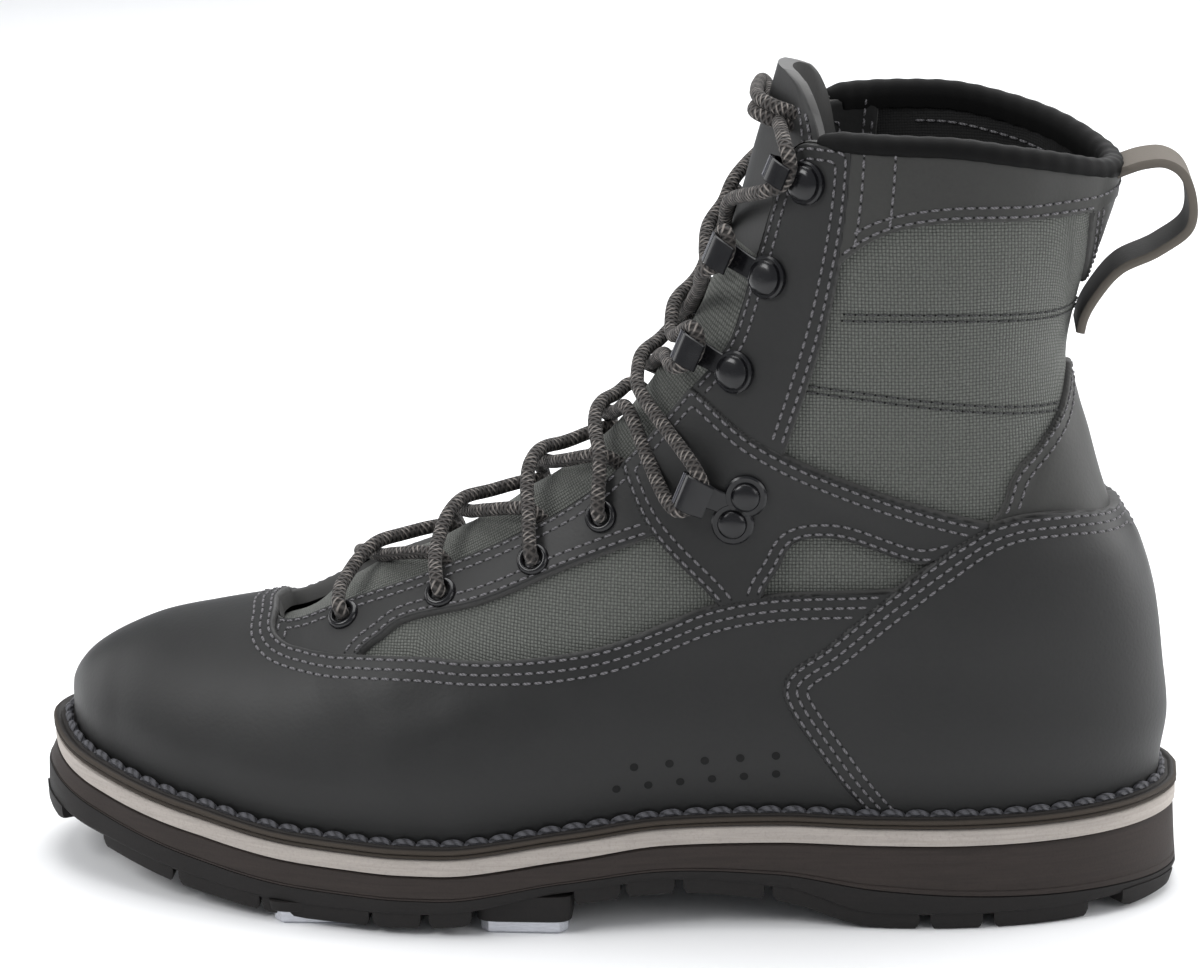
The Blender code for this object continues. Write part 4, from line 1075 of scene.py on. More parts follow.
class Effects:
    """The effects that several finishes share, each built once."""

    def __init__(self) -> None:
        """Builds every effect."""
        self.grain = self._grain()
        self.weave = self._weave()
        self.scuff = self._scuff()
        self.edge = self._edge()
        self.twist = self._twist()

    def _grain(self) -> bpy.types.NodeTree:
        """Leather grain: fine pebbles, pores and slow unevenness.

        Returns:
            The effect's tree.
        """
        inputs = [("Place", "NodeSocketVector", None), ("Pebble", "NodeSocketFloat", 900.0),
                  ("Cloud", "NodeSocketFloat", 30.0)]
        tree, g, start, end = new_effect("leather_grain", inputs, ["Height", "Tone"])
        cells = g.node("ShaderNodeTexVoronoi", {"Vector": start.outputs[0], "Scale": start.outputs[1]},
                       feature="SMOOTH_F1")
        fine = g.node("ShaderNodeTexNoise", {"Vector": start.outputs[0], "Scale": start.outputs[1],
                                             "Detail": 3.0, "Roughness": 0.65})
        slow = g.node("ShaderNodeTexNoise", {"Vector": start.outputs[0], "Scale": start.outputs[2],
                                             "Detail": 4.0, "Roughness": 0.6})
        pebbles = g.math("MULTIPLY", cells.outputs[0], 0.55)
        height = g.math("ADD", pebbles, g.math("MULTIPLY", fine.outputs[0], 0.6))
        g.tree.links.new(height, end.inputs[0])
        g.tree.links.new(slow.outputs[0], end.inputs[1])
        return tree

    def _weave(self) -> bpy.types.NodeTree:
        """Basket weave: paired yarns that pass over and under each other.

        Returns:
            The effect's tree.
        """
        inputs = [("Place", "NodeSocketVector", None), ("Pitch", "NodeSocketFloat", 1.0)]
        tree, g, start, end = new_effect("basket_weave", inputs, ["Height", "Tone", "Over"])
        split = g.node("ShaderNodeSeparateXYZ", {0: start.outputs[0]})
        wobble = g.noise(start.outputs[0], 0.35, 2.0)
        bend = g.math("MULTIPLY", wobble, 0.5)
        s, t = [g.math("DIVIDE", g.math("ADD", split.outputs[k], bend), start.outputs[1]) for k in (0, 1)]
        turn_s = g.math("MULTIPLY", s, math.pi)
        turn_t = g.math("MULTIPLY", t, math.pi)
        bump_s = g.math("ABSOLUTE", g.math("SINE", turn_s))
        bump_t = g.math("ABSOLUTE", g.math("SINE", turn_t))
        check = g.math("MODULO", g.math("ADD", g.math("FLOOR", s), g.math("FLOOR", t)), 2.0)
        over = g.math("ABSOLUTE", check)
        along = g.math("MULTIPLY", g.math("POWER", bump_t, 0.6), g.math("POWER", bump_s, 0.35))
        across = g.math("MULTIPLY", g.math("POWER", bump_s, 0.6), g.math("POWER", bump_t, 0.35))
        under = g.math("SUBTRACT", 1.0, over)
        yarn = g.math("ADD", g.math("MULTIPLY", along, over), g.math("MULTIPLY", across, under))
        fibre_s = g.math("SINE", g.math("MULTIPLY", s, math.pi * 7))
        fibre_t = g.math("SINE", g.math("MULTIPLY", t, math.pi * 7))
        fibre = g.math("ADD", g.math("MULTIPLY", fibre_t, over), g.math("MULTIPLY", fibre_s, under))
        g.tree.links.new(g.math("ADD", yarn, g.math("MULTIPLY", fibre, 0.05)), end.inputs[0])
        g.tree.links.new(yarn, end.inputs[1])
        g.tree.links.new(over, end.inputs[2])
        return tree

    def _scuff(self) -> bpy.types.NodeTree:
        """Faint rubbed patches and short scratches.

        Returns:
            The effect's tree.
        """
        inputs = [("Place", "NodeSocketVector", None), ("Scale", "NodeSocketFloat", 60.0)]
        tree, g, start, end = new_effect("scuffs", inputs, ["Mask"])
        long = g.node("ShaderNodeMapping", {"Vector": start.outputs[0], "Rotation": (0.2, 0.5, 0.4),
                                            "Scale": (1.0, 1.0, 7.0)})
        lines = g.node("ShaderNodeTexNoise", {"Vector": long.outputs[0], "Scale": start.outputs[1],
                                              "Detail": 6.0, "Roughness": 0.75})
        places = g.noise(start.outputs[0], 22.0, 2.0)
        mask = g.math("MULTIPLY", g.span(lines.outputs[0], 0.60, 0.72), g.span(places, 0.52, 0.66))
        g.tree.links.new(mask, end.inputs[0])
        return tree

    def _edge(self) -> bpy.types.NodeTree:
        """Rubbed raw edge of a cut panel, from the distance to it.

        Returns:
            The effect's tree.
        """
        inputs = [("Distance", "NodeSocketFloat", 5.0), ("Place", "NodeSocketVector", None),
                  ("Width", "NodeSocketFloat", 0.6)]
        tree, g, start, end = new_effect("edge_wear", inputs, ["Mask"])
        ragged = g.noise(start.outputs[1], 700.0, 3.0)
        wide = g.math("MULTIPLY", start.outputs[2], g.math("ADD", ragged, 0.5))
        share = g.math("DIVIDE", start.outputs[0], wide)
        g.tree.links.new(g.span(share, 0.2, 1.0, 1.0, 0.0), end.inputs[0])
        return tree

    def _twist(self) -> bpy.types.NodeTree:
        """Plies of a twisted thread or rope, from length along it and angle round it.

        Returns:
            The effect's tree.
        """
        inputs = [("Place", "NodeSocketVector", None), ("Pitch", "NodeSocketFloat", 1.0),
                  ("Plies", "NodeSocketFloat", 3.0)]
        tree, g, start, end = new_effect("twisted_plies", inputs, ["Height"])
        split = g.node("ShaderNodeSeparateXYZ", {0: start.outputs[0]})
        along = g.math("MULTIPLY", g.math("DIVIDE", split.outputs[0], start.outputs[1]), 2 * math.pi)
        turn = g.math("ADD", along, g.math("MULTIPLY", split.outputs[1], start.outputs[2]))
        g.tree.links.new(g.math("ABSOLUTE", g.math("SINE", g.math("MULTIPLY", turn, 0.5))), end.inputs[0])
        return tree


@dataclass(frozen=True)
class Finish:
    """Base of every finish: a name, a colour, a gloss and how deep its relief is."""

    name: str
    colour: tuple[float, float, float]
    rough: float = 0.6
    metallic: float = 0.0
    specular: float = 0.5
    sheen: float = 0.0
    coat: float = 0.0
    relief: float = 0.1

    def make(self, effects: Effects) -> bpy.types.Material:
        """Builds the material.

        Args:
            effects: the shared effects.

        Returns:
            The material, with colour, roughness and normal from its nodes.
        """
        material = bpy.data.materials.new(self.name)
        material.use_nodes = True
        tree = material.node_tree
        tree.nodes.clear()
        g = Graph(tree)
        shader = g.node("ShaderNodeBsdfPrincipled", {
            "Metallic": self.metallic, "Specular IOR Level": self.specular, "Sheen Weight": self.sheen,
            "Sheen Roughness": 0.5, "Coat Weight": self.coat, "Coat Roughness": 0.25})
        end = g.node("ShaderNodeOutputMaterial")
        tree.links.new(shader.outputs[0], end.inputs[0])
        place = g.node("ShaderNodeTexCoord").outputs["Object"]
        lay = g.node("ShaderNodeAttribute", attribute_name="lay").outputs["Vector"]
        colour, rough, height, distance = self.dress(g, effects, place, lay)
        tree.links.new(colour, shader.inputs["Base Color"])
        tree.links.new(rough, shader.inputs["Roughness"])
        bump = g.node("ShaderNodeBump", {"Strength": 1.0, "Distance": distance, "Height": height})
        tree.links.new(bump.outputs[0], shader.inputs["Normal"])
        return material

    def dress(self, g: Graph, effects: Effects, place: Socket, lay: Socket) -> Dressing:
        """Colour, roughness, height and depth of the relief in metres.

        Args:
            g: the graph of the material.
            effects: the shared effects.
            place: the piece's own place.
            lay: what was stored at each corner.

        Returns:
            Colour, roughness, height and depth of the relief in metres.
        """
        cloud = g.noise(place, 60.0, 3.0)
        colour = g.blend(g.span(cloud, 0.35, 0.65), self.shade(0.85), self.shade(1.12))
        rough = g.span(cloud, 0.3, 0.7, self.rough - 0.05, self.rough + 0.05)
        return colour, rough, g.noise(place, 900.0, 3.0), self.relief * MM

    def shade(self, factor: float) -> tuple[float, float, float]:
        """The finish's colour, lighter or darker."""
        return tuple(c * factor for c in self.colour)


@dataclass(frozen=True)
class Leather(Finish):
    """Smooth oiled leather with a fine grain, rubbed edges and faint scuffs."""

    pebble: float = 950.0
    edge_colour: tuple[float, float, float] = (0.075, 0.074, 0.072)
    edge_width: float = 0.55
    scuffs: float = 0.35

    def dress(self, g: Graph, effects: Effects, place: Socket, lay: Socket) -> Dressing:
        """Grain from cells and noise, slow clouds, edge wear and scuffs.

        Args:
            g: the graph of the material.
            effects: the shared effects.
            place: the piece's own place.
            lay: what was stored at each corner.

        Returns:
            Colour, roughness, height and depth of the relief in metres.
        """
        grain = g.group(effects.grain, Place=place, Pebble=self.pebble, Cloud=26.0)
        distance = g.node("ShaderNodeSeparateXYZ", {0: lay}).outputs[2]
        edge = g.group(effects.edge, Distance=distance, Place=place, Width=self.edge_width).outputs[0]
        scuff = g.math("MULTIPLY", g.group(effects.scuff, Place=place, Scale=150.0).outputs[0], self.scuffs)
        colour = g.blend(g.span(grain.outputs[1], 0.35, 0.68), self.shade(0.86), self.shade(1.16))
        pores = g.math("MULTIPLY", g.span(grain.outputs[0], 0.3, 0.7), 0.25)
        colour = g.blend(pores, colour, self.shade(1.35))
        colour = g.blend(scuff, colour, self.shade(2.1))
        colour = g.blend(g.math("MULTIPLY", edge, 0.75), colour, self.edge_colour)
        rough = g.math("ADD", g.span(grain.outputs[1], 0.3, 0.7, self.rough - 0.05, self.rough + 0.05),
                       g.math("MULTIPLY", g.math("ADD", scuff, edge), 0.12))
        height = g.math("ADD", grain.outputs[0], g.math("MULTIPLY", scuff, -0.4))
        return colour, rough, height, self.relief * MM


@dataclass(frozen=True)
class Textile(Finish):
    """Heavy basket weave with two tones of yarn."""

    pitch: float = 0.95
    bright: float = 1.35

    def dress(self, g: Graph, effects: Effects, place: Socket, lay: Socket) -> Dressing:
        """Weave in the flat lay of the cloth, with uneven yarns.

        Args:
            g: the graph of the material.
            effects: the shared effects.
            place: the piece's own place.
            lay: what was stored at each corner.

        Returns:
            Colour, roughness, height and depth of the relief in metres.
        """
        weave = g.group(effects.weave, Place=lay, Pitch=self.pitch)
        cloud = g.noise(place, 40.0, 4.0, 0.6)
        fleck = g.noise(place, 1400.0, 2.0)
        # Painted shade and highlight of the yarns' roundness: dark where they dip between each other, lighter
        # on their crowns.
        colour = g.blend(g.span(weave.outputs[1], 0.15, 0.95), self.shade(0.22), self.shade(self.bright))
        colour = g.blend(g.math("MULTIPLY", weave.outputs[2], 0.30), colour, self.shade(0.62))
        colour = g.blend(g.span(cloud, 0.3, 0.7, 0.0, 0.25), colour, self.shade(0.7))
        colour = g.blend(g.span(fleck, 0.45, 0.8, 0.0, 0.3), colour, self.shade(1.6))
        rough = g.span(weave.outputs[1], 0.0, 1.0, 0.95, self.rough)
        return colour, rough, weave.outputs[0], self.relief * MM


@dataclass(frozen=True)
class Thread(Finish):
    """Twisted thread or rope."""

    pitch: float = 0.9
    plies: float = 2.0

    def dress(self, g: Graph, effects: Effects, place: Socket, lay: Socket) -> Dressing:
        """Plies that turn round the thread, with painted shade in the grooves between them.

        Args:
            g: the graph of the material.
            effects: the shared effects.
            place: the piece's own place.
            lay: what was stored at each corner.

        Returns:
            Colour, roughness, height and depth of the relief in metres.
        """
        ply = g.group(effects.twist, Place=lay, Pitch=self.pitch, Plies=self.plies).outputs[0]
        fuzz = g.noise(place, 2500.0, 3.0)
        # Painted shade: darker in the grooves between the plies.
        colour = g.blend(g.span(ply, 0.1, 0.9), self.shade(0.35), self.shade(1.15))
        colour = g.blend(g.span(fuzz, 0.4, 0.8, 0.0, 0.4), colour, self.shade(1.5))
        rough = g.span(fuzz, 0.2, 0.8, self.rough - 0.08, self.rough + 0.08)
        return colour, rough, g.math("ADD", ply, g.math("MULTIPLY", fuzz, 0.3)), self.relief * MM


@dataclass(frozen=True)
class Braid(Finish):
    """Round braided lace with pale flecks."""

    pitch: float = 3.2
    strands: float = 8.0
    fleck: tuple[float, float, float] = (0.26, 0.235, 0.215)

    def dress(self, g: Graph, effects: Effects, place: Socket, lay: Socket) -> Dressing:
        """Two crossing sets of strands, one in five of them pale.

        Args:
            g: the graph of the material.
            effects: the shared effects.
            place: the piece's own place.
            lay: what was stored at each corner.

        Returns:
            Colour, roughness, height and depth of the relief in metres.
        """
        split = g.node("ShaderNodeSeparateXYZ", {0: lay})
        along = g.math("MULTIPLY", g.math("DIVIDE", split.outputs[0], self.pitch), 2 * math.pi)
        around = g.math("MULTIPLY", split.outputs[1], self.strands / 2)
        one = g.math("SINE", g.math("ADD", g.math("MULTIPLY", along, self.strands / 4), around))
        two = g.math("SINE", g.math("SUBTRACT", g.math("MULTIPLY", along, self.strands / 4), around))
        height = g.math("MAXIMUM", one, two)
        pale = g.math("MULTIPLY", g.span(one, 0.45, 0.85), g.span(
            g.math("SINE", g.math("SUBTRACT", g.math("MULTIPLY", along, 0.5), split.outputs[1])), -0.1, 0.4))
        # Painted shade: darker where the strands dip under each other.
        colour = g.blend(g.span(height, -0.2, 0.9), self.shade(0.30), self.shade(1.25))
        colour = g.blend(g.math("MULTIPLY", pale, 0.75), colour, self.fleck)
        fuzz = g.noise(place, 2200.0, 2.0)
        rough = g.span(fuzz, 0.2, 0.8, self.rough - 0.06, self.rough + 0.06)
        return colour, rough, height, self.relief * MM


@dataclass(frozen=True)
class Foam(Finish):
    """Sole foam or rubber, ground smooth in streaks along the sole."""

    streak: float = 0.25
    stretch: float = 22.0

    def dress(self, g: Graph, effects: Effects, place: Socket, lay: Socket) -> Dressing:
        """Fine speckle and streaks that run along the sole.

        Args:
            g: the graph of the material.
            effects: the shared effects.
            place: the piece's own place.
            lay: what was stored at each corner.

        Returns:
            Colour, roughness, height and depth of the relief in metres.
        """
        long = g.node("ShaderNodeMapping", {"Vector": place, "Scale": (1.0, 1.0, self.stretch)})
        lines = g.noise(long.outputs[0], 55.0, 5.0, 0.65)
        speck = g.noise(place, 1300.0, 3.0, 0.7)
        colour = g.blend(g.span(lines, 0.32, 0.68), self.shade(1 - self.streak), self.shade(1 + self.streak))
        colour = g.blend(g.span(speck, 0.5, 0.75, 0.0, 0.45), colour, self.shade(0.62))
        rough = g.span(lines, 0.3, 0.7, self.rough - 0.06, self.rough + 0.06)
        return colour, rough, g.math("ADD", g.math("MULTIPLY", lines, 0.5), speck), self.relief * MM


@dataclass(frozen=True)
class Metal(Finish):
    """Lacquered or brushed metal with fine scratches."""

    brushed: float = 0.2

    def dress(self, g: Graph, effects: Effects, place: Socket, lay: Socket) -> Dressing:
        """Fine brushing and slight smudges.

        Args:
            g: the graph of the material.
            effects: the shared effects.
            place: the piece's own place.
            lay: what was stored at each corner.

        Returns:
            Colour, roughness, height and depth of the relief in metres.
        """
        long = g.node("ShaderNodeMapping", {"Vector": place, "Scale": (1.0, 14.0, 14.0)})
        lines = g.noise(long.outputs[0], 260.0, 4.0, 0.7)
        smudge = g.noise(place, 170.0, 2.0)
        colour = g.blend(g.span(lines, 0.3, 0.7), self.shade(1 - self.brushed), self.shade(1 + self.brushed))
        rough = g.span(g.math("ADD", g.math("MULTIPLY", lines, self.brushed), smudge), 0.3, 0.9,
                       max(self.rough - 0.08, 0.05), self.rough + 0.10)
        return colour, rough, lines, self.relief * MM


@dataclass(frozen=True)
class Paper(Finish):
    """Even studio paper."""

    def dress(self, g: Graph, effects: Effects, place: Socket, lay: Socket) -> Dressing:
        """Barely uneven tone.

        Args:
            g: the graph of the material.
            effects: the shared effects.
            place: the piece's own place.
            lay: what was stored at each corner.

        Returns:
            Colour, roughness, height and depth of the relief in metres.
        """
        cloud = g.noise(place, 3.0, 2.0)
        colour = g.blend(cloud, self.shade(0.985), self.shade(1.0))
        return colour, g.span(cloud, 0, 1, 0.8, 0.85), cloud, 0.1 * MM


class Kit:
    """Every finish of the boot, made when first asked for."""

    finishes = {
        "leather": Leather("dark_leather", (0.0122, 0.0123, 0.0121), rough=0.50, specular=0.34,
                           relief=0.05, scuffs=0.6),
        "stay": Leather("heel_stay_leather", (0.0275, 0.0275, 0.0255), rough=0.54, specular=0.34,
                        relief=0.05),
        "strip": Leather("pull_strip_leather", (0.024, 0.023, 0.021), rough=0.75, specular=0.25,
                         relief=0.09, edge_colour=(0.150, 0.132, 0.112), edge_width=1.0, scuffs=0.8),
        "binding": Leather("collar_binding_cloth", (0.0035, 0.0035, 0.0035), rough=0.70, specular=0.12,
                           pebble=1500.0, edge_colour=(0.012, 0.012, 0.012), relief=0.05, scuffs=0.1),
        "welt": Leather("welt_leather", (0.013, 0.011, 0.010), rough=0.62, specular=0.28, pebble=700.0,
                        edge_colour=(0.046, 0.036, 0.027), edge_width=0.8, relief=0.06, scuffs=0.6),
        "textile": Textile("grey_green_basket_weave", (0.113, 0.118, 0.107), rough=0.80, specular=0.25,
                           sheen=0.12, relief=0.32),
        "lining": Textile("black_knit_lining", (0.010, 0.010, 0.010), rough=0.95, pitch=0.8, relief=0.15),
        "thread": Thread("grey_thread", (0.125, 0.121, 0.128), rough=0.72, pitch=0.9, relief=0.12),
        "dark_thread": Thread("dark_thread", (0.046, 0.047, 0.046), rough=0.75, pitch=0.9, relief=0.12),
        "rope": Thread("welt_rope", (0.058, 0.058, 0.066), rough=0.70, pitch=2.3, plies=3.0, relief=0.35),
        # Near-black discs and dimples in needle holes, drain holes, eyelet bores and welt stitch holes:
        # painted shade of the holes.
        "hole": Finish("hole_painted_shade", (0.003, 0.003, 0.003), rough=0.95),
        "lace": Braid("braided_lace", (0.046, 0.041, 0.038), rough=0.78, specular=0.25, sheen=0.1,
                      relief=0.30),
        "metal": Metal("black_lacquered_metal", (0.0055, 0.0055, 0.0065), rough=0.20, specular=0.34,
                       coat=0.12, relief=0.004),
        # Brighter metal bar across each hook's bend: a painted highlight of the bend.
        "tip": Metal("hook_bend_painted_highlight", (0.10, 0.10, 0.11), rough=0.24, metallic=1.0, relief=0.004),
        "bar": Metal("brushed_tread_bar", (0.56, 0.57, 0.61), rough=0.42, metallic=0.85, relief=0.02),
        "layer": Foam("pale_midsole_foam", (0.37, 0.335, 0.305), rough=0.82, relief=0.05, streak=0.12),
        "wedge": Foam("brown_wedge_foam", (0.031, 0.0245, 0.022), rough=0.74, specular=0.25,
                      relief=0.06, streak=0.2),
        "rubber": Foam("black_lug_rubber", (0.0135, 0.0122, 0.0118), rough=0.72, specular=0.25,
                       relief=0.08, streak=0.2),
        "footbed": Foam("black_footbed_cloth", (0.012, 0.012, 0.012), rough=0.92, relief=0.10,
                        stretch=1.0),
    }

    def __init__(self) -> None:
        """Builds the shared effects."""
        self.effects = Effects()
        self.made: dict[str, bpy.types.Material] = {}

    def __getitem__(self, key: str) -> bpy.types.Material:
        """The material of a finish.

        Args:
            key: the finish's short name.

        Returns:
            The material.
        """
        if key not in self.made:
            self.made[key] = self.finishes[key].make(self.effects)
        return self.made[key]


# Upper


@dataclass
class TextileUpper:
    """Outer cloth, black lining and raw edge of the upper."""

    form: BootForm
    kit: Kit
    wall: float = 2.4
    across: int = 3
    rise: int = 2

    def shell(self, out: float) -> tuple[Points, list, Points]:
        """One skin of the upper.

        Args:
            out: distance outside the upper's own surface.

        Returns:
            Corners, faces and the lay of the cloth.
        """
        rows = np.append(np.arange(0, self.form.up_steps, self.rise), self.form.up_steps)
        p = self.form.p[::self.across][:, rows] + self.form.n[::self.across][:, rows] * out
        lay = self.form.lay[::self.across][:, rows]
        m, k = p.shape[0], p.shape[1]
        faces = []
        for i in range(m):
            j = (i + 1) % m
            for r in range(k - 1):
                faces.append((i * k + r, j * k + r, j * k + r + 1, i * k + r + 1))
        flat = np.concatenate([lay, np.full((m, k, 1), 40.0)], axis=2)
        return p.reshape(-1, 3), faces, flat.reshape(-1, 3)

    def build(self) -> None:
        """Builds the skins and the strip that joins them at the edge."""
        points, faces, lay = self.shell(0.0)
        make_object("textile_upper", points, faces, self.kit["textile"], Slot.TEXTILE, ["upper"], lay)
        points, faces, lay = self.shell(-self.wall)
        flipped = [f[::-1] for f in faces]
        make_object("upper_lining", points, flipped, self.kit["lining"], Slot.LINING, (), lay)
        edge = []
        top, n = self.form.p[::2, -1], self.form.n[::2, -1]
        up = np.array([0.0, 0.0, 0.35])
        for out, lift in ((1.4, -0.2), (0.6, 0.5), (-0.6, 0.7), (-1.8, 0.5), (-self.wall - 0.1, -0.2)):
            edge.append(top + n * out + up * lift)
        points, faces = lofted(edge, cap=False)
        lay = np.zeros((len(points), 3))
        make_object("upper_raw_edge", points, faces, self.kit["leather"], Slot.LEATHER, (), lay)


@dataclass(frozen=True)
class PanelPlan:
    """Outline, height and stitch rows of one leather panel."""

    name: str
    outline: Table
    hidden: tuple[int, ...]
    height: float
    rows: tuple[float, ...]
    finish: str = "leather"
    both_sides: bool = True
    replaces: tuple[str, ...] = ()
    rim: Optional[float] = 0.3


# Distances of the stitch rows from a panel's edge
TWO_ROWS = (1.6, 4.2)
THREE_ROWS = (1.6, 4.2, 6.8)


@dataclass
class Panels:
    """Leather panels of the upper with their stitching."""

    form: BootForm
    kit: Kit
    pitch: float = 3.0
    stitch: float = 2.35
    thread: float = 0.36
    plans: tuple[PanelPlan, ...] = (
        PanelPlan("collar_band", (
            (60, 172), (61.2, 176.8), (65, 184.1), (77, 193.8), (93.1, 197.6), (119.1, 197.1),
            (148.1, 196.7), (175, 196.5), (175, 240), (50, 240), (50, 190)),
            (7, 8, 9, 10), 1.9, TWO_ROWS, "stay", False, ("collar_band",), None),
        PanelPlan("back_stay", (
            (96, 104), (103, 110.5), (108.8, 115.4), (113, 126.2), (120.1, 133.9), (124.9, 141),
            (128.2, 156), (131.1, 176.8), (132, 200), (175, 200), (175, 90), (100, 90)),
            (0, 8, 9, 10, 11), 1.5, TWO_ROWS, "stay", False, ("back_stay",), None),
        PanelPlan("eyestay", (
            (-92.5, 62), (-92, 79), (-84, 112), (4, 146), (34, 132), (40, 118), (32.2, 114.9),
            (16.1, 108.1), (-9, 97.5), (-30.9, 88), (-54.1, 81.3), (-59.6, 77.4), (-64.4, 73.8),
            (-70, 64)),
            (1, 2, 3, 4, 5, 13), 2.2, TWO_ROWS),
        PanelPlan("shaft_facing", (
            (-20, 156), (16, 140), (34, 130), (49, 126), (54.1, 140.3), (63.1, 169.3), (68.9, 199.1),
            (71.2, 226), (71, 240), (0, 240)),
            (0, 1, 2, 7, 8, 9), 2.2, TWO_ROWS),
        PanelPlan("ankle_strap", (
            (-8, 148), (5.2, 129.3), (14.5, 110.5), (32.8, 91.1), (40, 80), (47, 80), (45.6, 92.8),
            (49.9, 100.6), (54.1, 107.6), (64.4, 109), (87.9, 102.1), (98, 104), (104, 96), (120, 96),
            (118, 111), (105, 113.4), (68.9, 125.1), (45.1, 136.6), (28, 148.7), (12.9, 152.5),
            (6, 158)),
            (4, 11, 12, 13, 20), 2.9, TWO_ROWS),
        PanelPlan("vamp_leather", (
            (-92.6, 96), (-92.4, 75.5), (-91.6, 72.6), (-88.4, 71.2), (-80.3, 71.2), (-60.9, 73.2),
            (-47, 74.3), (-25.1, 74.9), (1.9, 79.3), (32.2, 90.6), (48.3, 93.5), (77.9, 95),
            (90, 96.6), (98, -12), (-178, -12), (-178, 96)),
            (12, 13, 14, 15), 3.3, THREE_ROWS, "leather", False, ("vamp_leather",), 0.2),
        PanelPlan("heel_counter", (
            (178, -12), (92, -12), (80.5, 22.1), (71.5, 34.9), (57.3, 54.1), (52.6, 61.3), (50.6, 66),
            (51.2, 70.6), (54.6, 74.4), (61.5, 79.2), (80.5, 94.8), (107.9, 113.4), (124.9, 114),
            (145.9, 107.6), (161, 106.1), (178, 105.5)),
            (0, 14), 4.0, THREE_ROWS, "leather", False, ("heel_counter",), None),
    )

    def patch(self, plan: PanelPlan) -> Patch:
        """The area of a plan, cut back at the upper's own edge."""
        area = outline_patch(self.form, plan.outline, plan.hidden)
        return area if plan.rim is None else area.both(rim_patch(self.form, plan.rim))

    def build(self) -> None:
        """Builds every panel, then the stitch rows that no later panel covers."""
        areas = [self.patch(plan) for plan in self.plans]
        threads, holes = Soup(), Soup()
        for k, plan in enumerate(self.plans):
            free = np.full(self.form.p.shape[:2], 9.0)
            for later in areas[k + 1:]:
                free = np.minimum(free, -later.inside)
            if plan.name != "collar_band":
                self.panel(plan, areas[k])
            else:
                self.panel(plan, areas[k].both(rim_patch(self.form, 0.5)))
            self.sew(plan, areas[k], free, threads, holes)
            LOG.info("panel %s", plan.name)
        facing, collar = areas[3], areas[0]
        for level in (-3.0, -11.0):
            ok = np.minimum(collar.inside - 1.2, -facing.inside - 0.5)
            for points, normals in contour(facing, level, ok):
                self.row(points, normals, self.plans[0].height, threads, holes)
        self.bands()
        self.inner_facing(facing, threads)
        threads.make("panel_stitching", self.kit["thread"], Slot.LEATHER)
        holes.make("needle_holes", self.kit["hole"], Slot.LEATHER)

    def inner_facing(self, area: Patch, threads: Soup) -> None:
        """Lines the inside of the facing with leather, stitched along its back edge.

        Args:
            area: the facing's area outside.
            threads: where the stitches go.
        """
        inner = copy.copy(self.form)
        inner.p = self.form.p - self.form.n * 2.5
        inner.n = -self.form.n
        wide = Patch(inner, np.where(area.inside > -12, area.inside + 5.0, area.inside))
        wide = wide.both(rim_patch(self.form, 0.8))
        for side, sign in SIDES:
            points, faces, lay = cut(wide.half(sign), 0.0, 1.1)
            make_object("inner_facing_" + side, points, [f[::-1] for f in faces], self.kit["leather"],
                        Slot.LEATHER, (), lay)
        holes = Soup()
        rim = rim_patch(self.form, 0.0)
        behind = np.where(np.abs(self.form.aa) > 0.765, 5.0, -5.0)
        for points, normals in contour(Patch(inner, rim.inside), 8.5, behind):
            self.row(points, normals, 0.25, threads, holes)
        for level in (1.8, 4.4, 12.0):
            for points, normals in contour(Patch(inner, area.inside + 5.0), level, wide.inside - 1.0):
                self.row(points, normals, 1.15, threads, holes)

    def bands(self) -> None:
        """Sews two tonal bands across the shaft cloth on each side."""
        dark, marks = Soup(), Soup()
        for medial in (False, True):
            for ends in (((66.5, 171.5), (98.0, 171.0), (130.5, 167.5)),
                         ((57.0, 151.5), (90.0, 147.0), (127.5, 141.0))):
                line = curve_through(ends, 0.5)
                for row in (-0.9, 0.9):
                    both = [self.form.side_point(float(x), float(z) + row, medial) for x, z in line]
                    points = np.array([b[0] for b in both])
                    normals = np.array([b[1] for b in both])
                    self.row(points[int(2 + row):], normals[int(2 + row):], 0.12, dark, marks)
        dark.make("shaft_band_stitching", self.kit["dark_thread"], Slot.TEXTILE)
        marks.make("shaft_band_holes", self.kit["hole"], Slot.TEXTILE)

    def panel(self, plan: PanelPlan, area: Patch) -> None:
        """Builds one panel, once or on each side.

        Args:
            plan: the panel's plan.
            area: where it lies.
        """
        if not plan.both_sides:
            points, faces, lay = cut(area, 0.0, plan.height)
            make_object(plan.name, points, faces, self.kit[plan.finish], Slot.LEATHER, plan.replaces, lay)
            return
        for side, sign in SIDES:
            points, faces, lay = cut(area.half(sign), 0.0, plan.height)
            name = plan.name + "_" + side
            make_object(name + "_panel", points, faces, self.kit[plan.finish], Slot.LEATHER, (name,), lay)

    def sew(self, plan: PanelPlan, area: Patch, free: Points, threads: Soup, holes: Soup) -> None:
        """Adds a plan's stitch rows where they lie free of later panels.

        Args:
            plan: the panel's plan.
            area: where it lies.
            free: distance to later panels.
            threads: where the stitches go.
            holes: where the needle holes go.
        """
        ok = np.minimum(free - 0.2, area.inside)
        for row in plan.rows:
            for points, normals in contour(area, row, ok):
                self.row(points, normals, plan.height, threads, holes)

